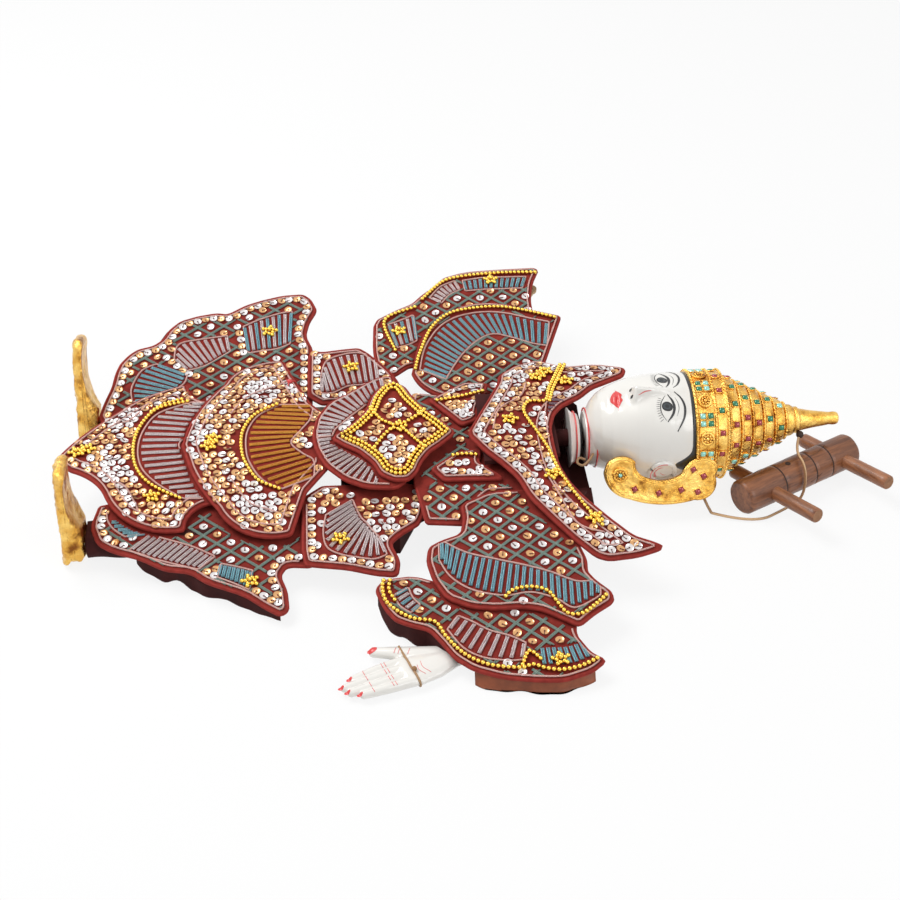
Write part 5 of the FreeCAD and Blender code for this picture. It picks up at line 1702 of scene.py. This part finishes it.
for side, word in ((-1, "left"), (1, "right")):
    s = float(side)
    verts, faces = fused("hand_" + word, hand_chains(s), 0.6, 4, "face")
    bag = Bag()
    placing = hand_matrix(side) @ Matrix.Translation((0, 0, -4.8))

    def placed(points):
        points = np.atleast_2d(points)
        if side > 0:
            points = points * [0.69, 0.9, 1] + [9.0, 0, 0]
        return np.array([(placing @ Vector(q))[:] for q in points])

    bag.add(placed(verts), faces, "face")
    tree = BVHTree.FromPolygons([tuple(v) for v in verts], faces)

    def on_hand(x, y, lift=0.1):
        hit, normal, _, _ = tree.ray_cast(Vector((x, y, 30)), Vector((0, 0, -1)))
        if hit is None:
            return np.array([x, y, 5.0])
        return np.array(hit) + np.array(normal) * lift

    def hand_stroke(points, width, material):
        line = resample(smooth(points), 0.6)
        bag.tube(placed([on_hand(x, y, 0.02) for x, y in line]), width / 2, material, 5)

    for base, tip, end, r in FINGERS:
        nail = [(end - 1.6 + 2.0 * math.cos(a), (tip + 1.3 * math.sin(a)) * s)
                for a in np.arange(10) * math.pi / 5]
        ring = resample(nail, 0.5, True)
        if area_of(ring) < 0:
            ring = ring[::-1]
        points, tris = triangulate(ring, 0.7)
        bag.add(placed([on_hand(x, y, 0.15) for x, y in points]), tris, "red_paint")
        for x, fade in ((50.0, 0.45), (52.0, 0.45), (64.0, 0.3)):
            y = base + (tip - base) * (x - 38) / (end - 41)
            hand_stroke([(x, (y - 1.9) * s), (x + 0.3, y * s), (x, (y + 1.9) * s)], 0.5,
                        "pink_paint")
    nail = [(51.8 + 3.2 * math.cos(a), (24.3 + 2.4 * math.sin(a)) * s)
            for a in np.arange(10) * math.pi / 5]
    ring = resample(nail, 0.5, True)
    if area_of(ring) < 0:
        ring = ring[::-1]
    points, tris = triangulate(ring, 0.7)
    bag.add(placed([on_hand(x, y, 0.15) for x, y in points]), tris, "red_paint")
    for x, y in ((33, 12.5), (38, 15.6), (40, 17.0)):
        hand_stroke([(x - 1.4, (y + 1.6) * s), (x + 1.4, (y - 1.6) * s)], 0.45, "pink_paint")
    hand_stroke([(28, -9 * s), (31, -4 * s), (30.5, 1 * s)], 0.4, "pink_paint")
    hand_stroke([(31.5, -9 * s), (34, -5 * s), (33.5, -1 * s)], 0.4, "pink_paint")
    attach(bag.build("hand_%s_lacquered" % word), "hand_" + word,
           ["hand_" + word])
    if side < 0:
        bag = Bag()
        loop = []
        for k in range(40):
            a = 2 * math.pi * k / 40
            way = Vector((0, math.cos(a), math.sin(a)))
            origin = Vector((36.5, -1.0 * s, 4.7)) + way * 30
            hit, _, _, _ = tree.ray_cast(origin, -way)
            if hit is not None:
                loop.append(np.array(hit) + np.array(way) * 0.55 + np.array([math.sin(a), 0, 0]))
        bag.tube(placed(loop), 0.75, "string", 8, True)
        knot_at = placed([on_hand(36.5, -4 * s, 1.2)])[0]
        bag.scatter(ball_template(1.6, 10, 6), knot_at, (0, 0, 1), "string")
        attach(bag.build("hand_left_string_ring"), "hand_left")


# ---------------------------------------------------------------- feet and trouser legs
SOLE = [(-15, 1), ((-16, 0), (-12, 0)), (-2, 0), (0, 4), (0, 26), ((-6, 40), (-7, 70)),
        ((-10, 76), (-14, 72)), ((-15, 40), (-15, 20))]


def wrinkle(points, scale, amount):
    return np.array([fractal(Vector(p) / scale, 0.6, 2.1, 4) * amount for p in points])


for side, lean, word in ((-1, 4.0, "left"), (1, 22.0, "right")):
    ring = resample(expand(SOLE), 1.3, True)
    middle = (ring.min(0) + ring.max(0)) / 2
    half = (ring.max(0) - ring.min(0)) / 2
    stations = [-1, -0.995, -0.98, -0.94, -0.86, -0.72, -0.5, -0.25, 0, 0.25, 0.5, 0.72, 0.86,
                0.94, 0.98, 0.995, 1]
    verts = []
    for t in stations:
        sunk = (1 - (1 - abs(t) ** 5) ** 0.4) * 6.5
        scale = 1 - sunk / half
        for q in middle + (ring - middle) * np.clip(scale, 0.02, 1):
            verts.append((q[0], t * 14.3, q[1]))
    n = len(ring)
    faces = [(i * n + k, i * n + (k + 1) % n, (i + 1) * n + (k + 1) % n, (i + 1) * n + k)
             for i in range(len(stations) - 1) for k in range(n)]
    faces += [tuple(range(n))[::-1], tuple((len(stations) - 1) * n + k for k in range(n))]
    verts = np.array(verts)
    out = verts - np.array([-7.5, 0, 0]) * [1, 0, 0]
    out[:, 2] = 0
    out /= np.linalg.norm(out, axis=1)[:, None] + 1e-9
    verts += out * wrinkle(verts * [1, 1, 0.6] + side * 40, 5.5, 1.3)[:, None]
    verts[:, 2] *= 0.90 if side < 0 else 1.0
    angle = -math.radians(lean)
    c, s = math.cos(angle), math.sin(angle)
    y = verts[:, 1] * c - verts[:, 2] * s
    z = verts[:, 1] * s + verts[:, 2] * c
    z += -z.min() + 0.05
    bag = Bag()
    bag.add(np.stack([verts[:, 0] - 238.2, y + side * LEG_Y, z], 1), faces, "leaf")
    attach(bag.build("shoe_%s_gilded" % word), "shin_" + word, ["shoe_" + word])

    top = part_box("trouser_" + word)[1][2] * 1000 - 0.3
    bag = Bag()
    stations = np.linspace(-237.5, -157.5, 60)
    verts = []
    for x in stations:
        for k in range(48):
            a = 2 * math.pi * k / 48
            r = 12.0 + 0.45 * math.sin(x / 4.6 + 2.2 * math.sin(a)) + 0.35 * math.sin(3 * a + x / 9)
            verts.append((x, side * LEG_Y + r * math.cos(a),
                          min(max(13 + r * math.sin(a), 0.3), top)))
    faces = [(i * 48 + k, i * 48 + (k + 1) % 48, (i + 1) * 48 + (k + 1) % 48, (i + 1) * 48 + k)
             for i in range(59) for k in range(48)]
    faces += [tuple(range(48))[::-1], tuple(59 * 48 + k for k in range(48))]
    bag.add(verts, [f[::-1] for f in faces], "lining")
    leg = attach(bag.build("trouser_%s_cloth" % word), "shin_" + word,
                 ["trouser_" + word])

# ---------------------------------------------------------------- turned-down linings


def skirt(name, surface, edge, drop, material, body, inward=1.2, sway=1.2):
    """Lining that hangs from an edge of a panel; drop is its height in millimetres."""
    line = resample(smooth(edge), 2.0)
    tops = surface.at(line, -2.3)
    n, rows = len(line), 8
    side = surface.side
    run = np.arange(n) * 2.0
    drops = np.interp(np.linspace(0, 1, n), np.linspace(0, 1, len(drop)), drop)
    drops *= 1 + 0.10 * np.sin(run / 6.5) + 0.06 * np.sin(run / 2.9 + 1)
    layers = []
    for skin in (0.0, 0.6):
        for j in range(rows):
            t = j / (rows - 1)
            place = tops.copy()
            place[:, 1] -= side * (inward * (t if inward < 0 else 0.6 + t) + skin
                                   - sway * np.sin(run / 5.5) * t - 0.5 * np.sin(run / 2.6) * t)
            place[:, 2] = np.maximum(place[:, 2] - drops * t, 0.6)
            layers.append(place)
    verts = np.vstack(layers)
    faces = []
    for layer in (0, 1):
        for j in range(rows - 1):
            for i in range(n - 1):
                a = (layer * rows + j) * n + i
                quad = (a, a + 1, a + n + 1, a + n)
                faces.append(quad if (layer == 0) == (side < 0) else quad[::-1])
    back = rows * n
    loop = ([i for i in range(n)] + [j * n + n - 1 for j in range(1, rows)]
            + [(rows - 1) * n + i for i in range(n - 2, -1, -1)] + [j * n for j in
                                                                   range(rows - 2, 0, -1)])
    for a, b in zip(loop, loop[1:] + loop[:1]):
        faces.append((a, b, b + back, a + back) if side > 0 else (b, a, a + back, b + back))
    bag = Bag()
    bag.add(verts, faces, material)
    obj = bag.build(name)
    if body in ("left", "right"):
        bend_at_knee(obj)
    else:
        attach(obj, body)
    return obj


def edge_run(name, low_x, high_x):
    """The outer edge of a panel between two stations, a little inside the outline."""
    ring = resample(OUTLINES[name], 3.0, True)
    keep = []
    for x in np.arange(low_x, high_x, 6.0):
        near = ring[np.abs(ring[:, 0] - x) < 3.2]
        if len(near):
            keep.append((x, near[:, 1].max() - 1.8))
    return keep


skirt("wing_left_lining", SURFACES["wing_left"], edge_run("wing_left", -205, -113),
      [6, 12, 13, 14, 12, 8], "lining", "left")
skirt("wing_right_lining", SURFACES["wing_right"], edge_run("wing_right", -205, -96),
      [6, 11, 12, 12, 11, 8], "lining", "right")
skirt("cuff_left_lining_inner", SURFACES["cuff_left"],
      [(-55, 74), (-49, 87), (-37, 100), (-26, 105), (-19, 116), (-10, 128)],
      [8, 15, 16, 12, 4, 2], "lining", "forearm_left", -0.6)
skirt("cuff_left_lining_outer", SURFACES["cuff_left"],
      [(-1, 134), (15, 141), (36, 144), (54, 145), (70, 137)],
      [9.2, 11.6, 11.6, 10.6, 8.2], "satin", "forearm_left", -5.5)

# ---------------------------------------------------------------- red knot and inner pieces
bag = Bag()
spot, way = SURFACES["apron_middle"].at([-106, 64], 1.4)[0], np.array([0, 0, 1.0])
bag.scatter(ball_template(1.9, 10, 7), spot, way, "red_paint")
for a in (0.3, 2.2, 4.4):
    tail = [spot + np.array([math.cos(a), math.sin(a), 0.0]) * t for t in (0.5, 2.2, 4.2)]
    tail[-1][2] -= 0.6
    bag.tube(np.array(tail), 0.45, "red_paint", 6)
attach(bag.build("apron_knot"), "pelvis")

bag = Bag()
tie = smooth([(94, -19.5, 34), (91, -22.5, 31), (86.5, -25, 28.8), (83, -23, 29.6),
              (84.5, -19.8, 31.2), (88.5, -20.8, 30.2)])
bag.tube(np.array(tie), 0.85, "string", 8)
attach(bag.build("neck_cord_end"), "torso")

bag = Bag()
ends = ROUTE[[0, -1]]
rim = np.array([165.0, -46.5, 12.5])
bag.tube(np.array([ends[0], (ends[0] + rim) / 2 + [0, 0, -0.4], rim]), 0.95, "string", 8)
seat = np.array([235.0, -4.0, 36.5])
bag.tube(np.array([ends[1], (ends[1] + seat) / 2, seat]), 0.95, "string", 8)
bag.scatter(ball_template(2.6, 12, 8), ends[1], (0, 0, 1), "burnt_and_hole_shade")
attach(bag.build("head_string_knots"), "head")

brass = ("pin",)
for name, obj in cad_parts.items():
    key = "brass" if any(word in name for word in brass) else "wood"
    if any(word in name for word in ("pad", "peg", "block")):
        key = "lining"
    obj.data.materials.clear()
    obj.data.materials.append(MAT[key])

# ---------------------------------------------------------------- stage and light
def ray_share(tree, path, kinds, share):
    """Factor that is `share` for the named kinds of ray and 0 for the rest."""
    factor = path.outputs[kinds[0]]
    for kind in kinds[1:]:
        both = tree.nodes.new("ShaderNodeMath")
        both.operation = "MAXIMUM"
        tree.links.new(factor, both.inputs[0])
        tree.links.new(path.outputs[kind], both.inputs[1])
        factor = both.outputs["Value"]
    scaled = tree.nodes.new("ShaderNodeMath")
    scaled.operation = "MULTIPLY"
    scaled.inputs[1].default_value = share
    tree.links.new(factor, scaled.inputs[0])
    return scaled.outputs["Value"]


def blended(tree, factor, first, second):
    mix = tree.nodes.new("ShaderNodeMixShader")
    tree.links.new(factor, mix.inputs["Fac"])
    tree.links.new(first, mix.inputs[1])
    tree.links.new(second, mix.inputs[2])
    return mix.outputs["Shader"]


def stage_material():
    """Pale floor: it shows the shadow faintly over white, also over what a pose puts under it."""
    material = bpy.data.materials.new("floor")
    material.use_nodes = True
    tree = material.node_tree
    tree.nodes.clear()
    out = tree.nodes.new("ShaderNodeOutputMaterial")
    matte = add_node(tree, "ShaderNodeBsdfDiffuse", Color=(0.86, 0.86, 0.86, 1))
    glow = add_node(tree, "ShaderNodeEmission", Color=(1, 1, 1, 1), Strength=1.0)
    clear = add_node(tree, "ShaderNodeBsdfTransparent", Color=(1, 1, 1, 1))
    path = tree.nodes.new("ShaderNodeLightPath")
    shiny = blended(tree, ray_share(tree, path, ["Is Glossy Ray", "Is Transmission Ray"], 0.88),
                    matte.outputs["BSDF"], glow.outputs["Emission"])
    shader = blended(tree, ray_share(tree, path, ["Is Camera Ray"], 0.86), shiny,
                     clear.outputs["BSDF"])
    tree.links.new(shader, out.inputs["Surface"])
    return material


floor_mesh = bpy.data.meshes.new("floor")
floor_mesh.from_pydata([(-6, -6, 0), (6, -6, 0), (6, 6, 0), (-6, 6, 0)], [], [(0, 1, 2, 3)])
floor_mesh.materials.append(stage_material())
floor = bpy.data.objects.new("floor", floor_mesh)
bpy.context.scene.collection.objects.link(floor)

world = bpy.data.worlds.new("studio")
bpy.context.scene.world = world
world.use_nodes = True
tree = world.node_tree
tree.nodes.clear()
out = tree.nodes.new("ShaderNodeOutputWorld")
soft = add_node(tree, "ShaderNodeBackground", Color=(1, 1, 1, 1), Strength=0.42)
white = add_node(tree, "ShaderNodeBackground", Color=(1, 1, 1, 1), Strength=1.0)
path = tree.nodes.new("ShaderNodeLightPath")
kinds = ["Is Camera Ray", "Is Glossy Ray", "Is Transmission Ray"]
shader = blended(tree, ray_share(tree, path, kinds, 1.0), soft.outputs["Background"],
                 white.outputs["Background"])
tree.links.new(shader, out.inputs["Surface"])


def area_light(name, place, aim, size, power):
    data = bpy.data.lights.new(name, "AREA")
    data.shape = "RECTANGLE"
    data.size, data.size_y = size
    data.energy = power
    lamp = bpy.data.objects.new(name, data)
    lamp.location = place
    lamp.rotation_euler = (Vector(aim) - Vector(place)).to_track_quat("-Z", "Y").to_euler()
    bpy.context.scene.collection.objects.link(lamp)


area_light("key", (-0.75, 0.35, 1.25), (0, 0, 0), (0.9, 0.7), 17.0)
area_light("fill", (0.9, -0.9, 0.9), (0, 0, 0), (1.0, 0.8), 7.0)
bpy.context.scene.view_settings.view_transform = "Standard"
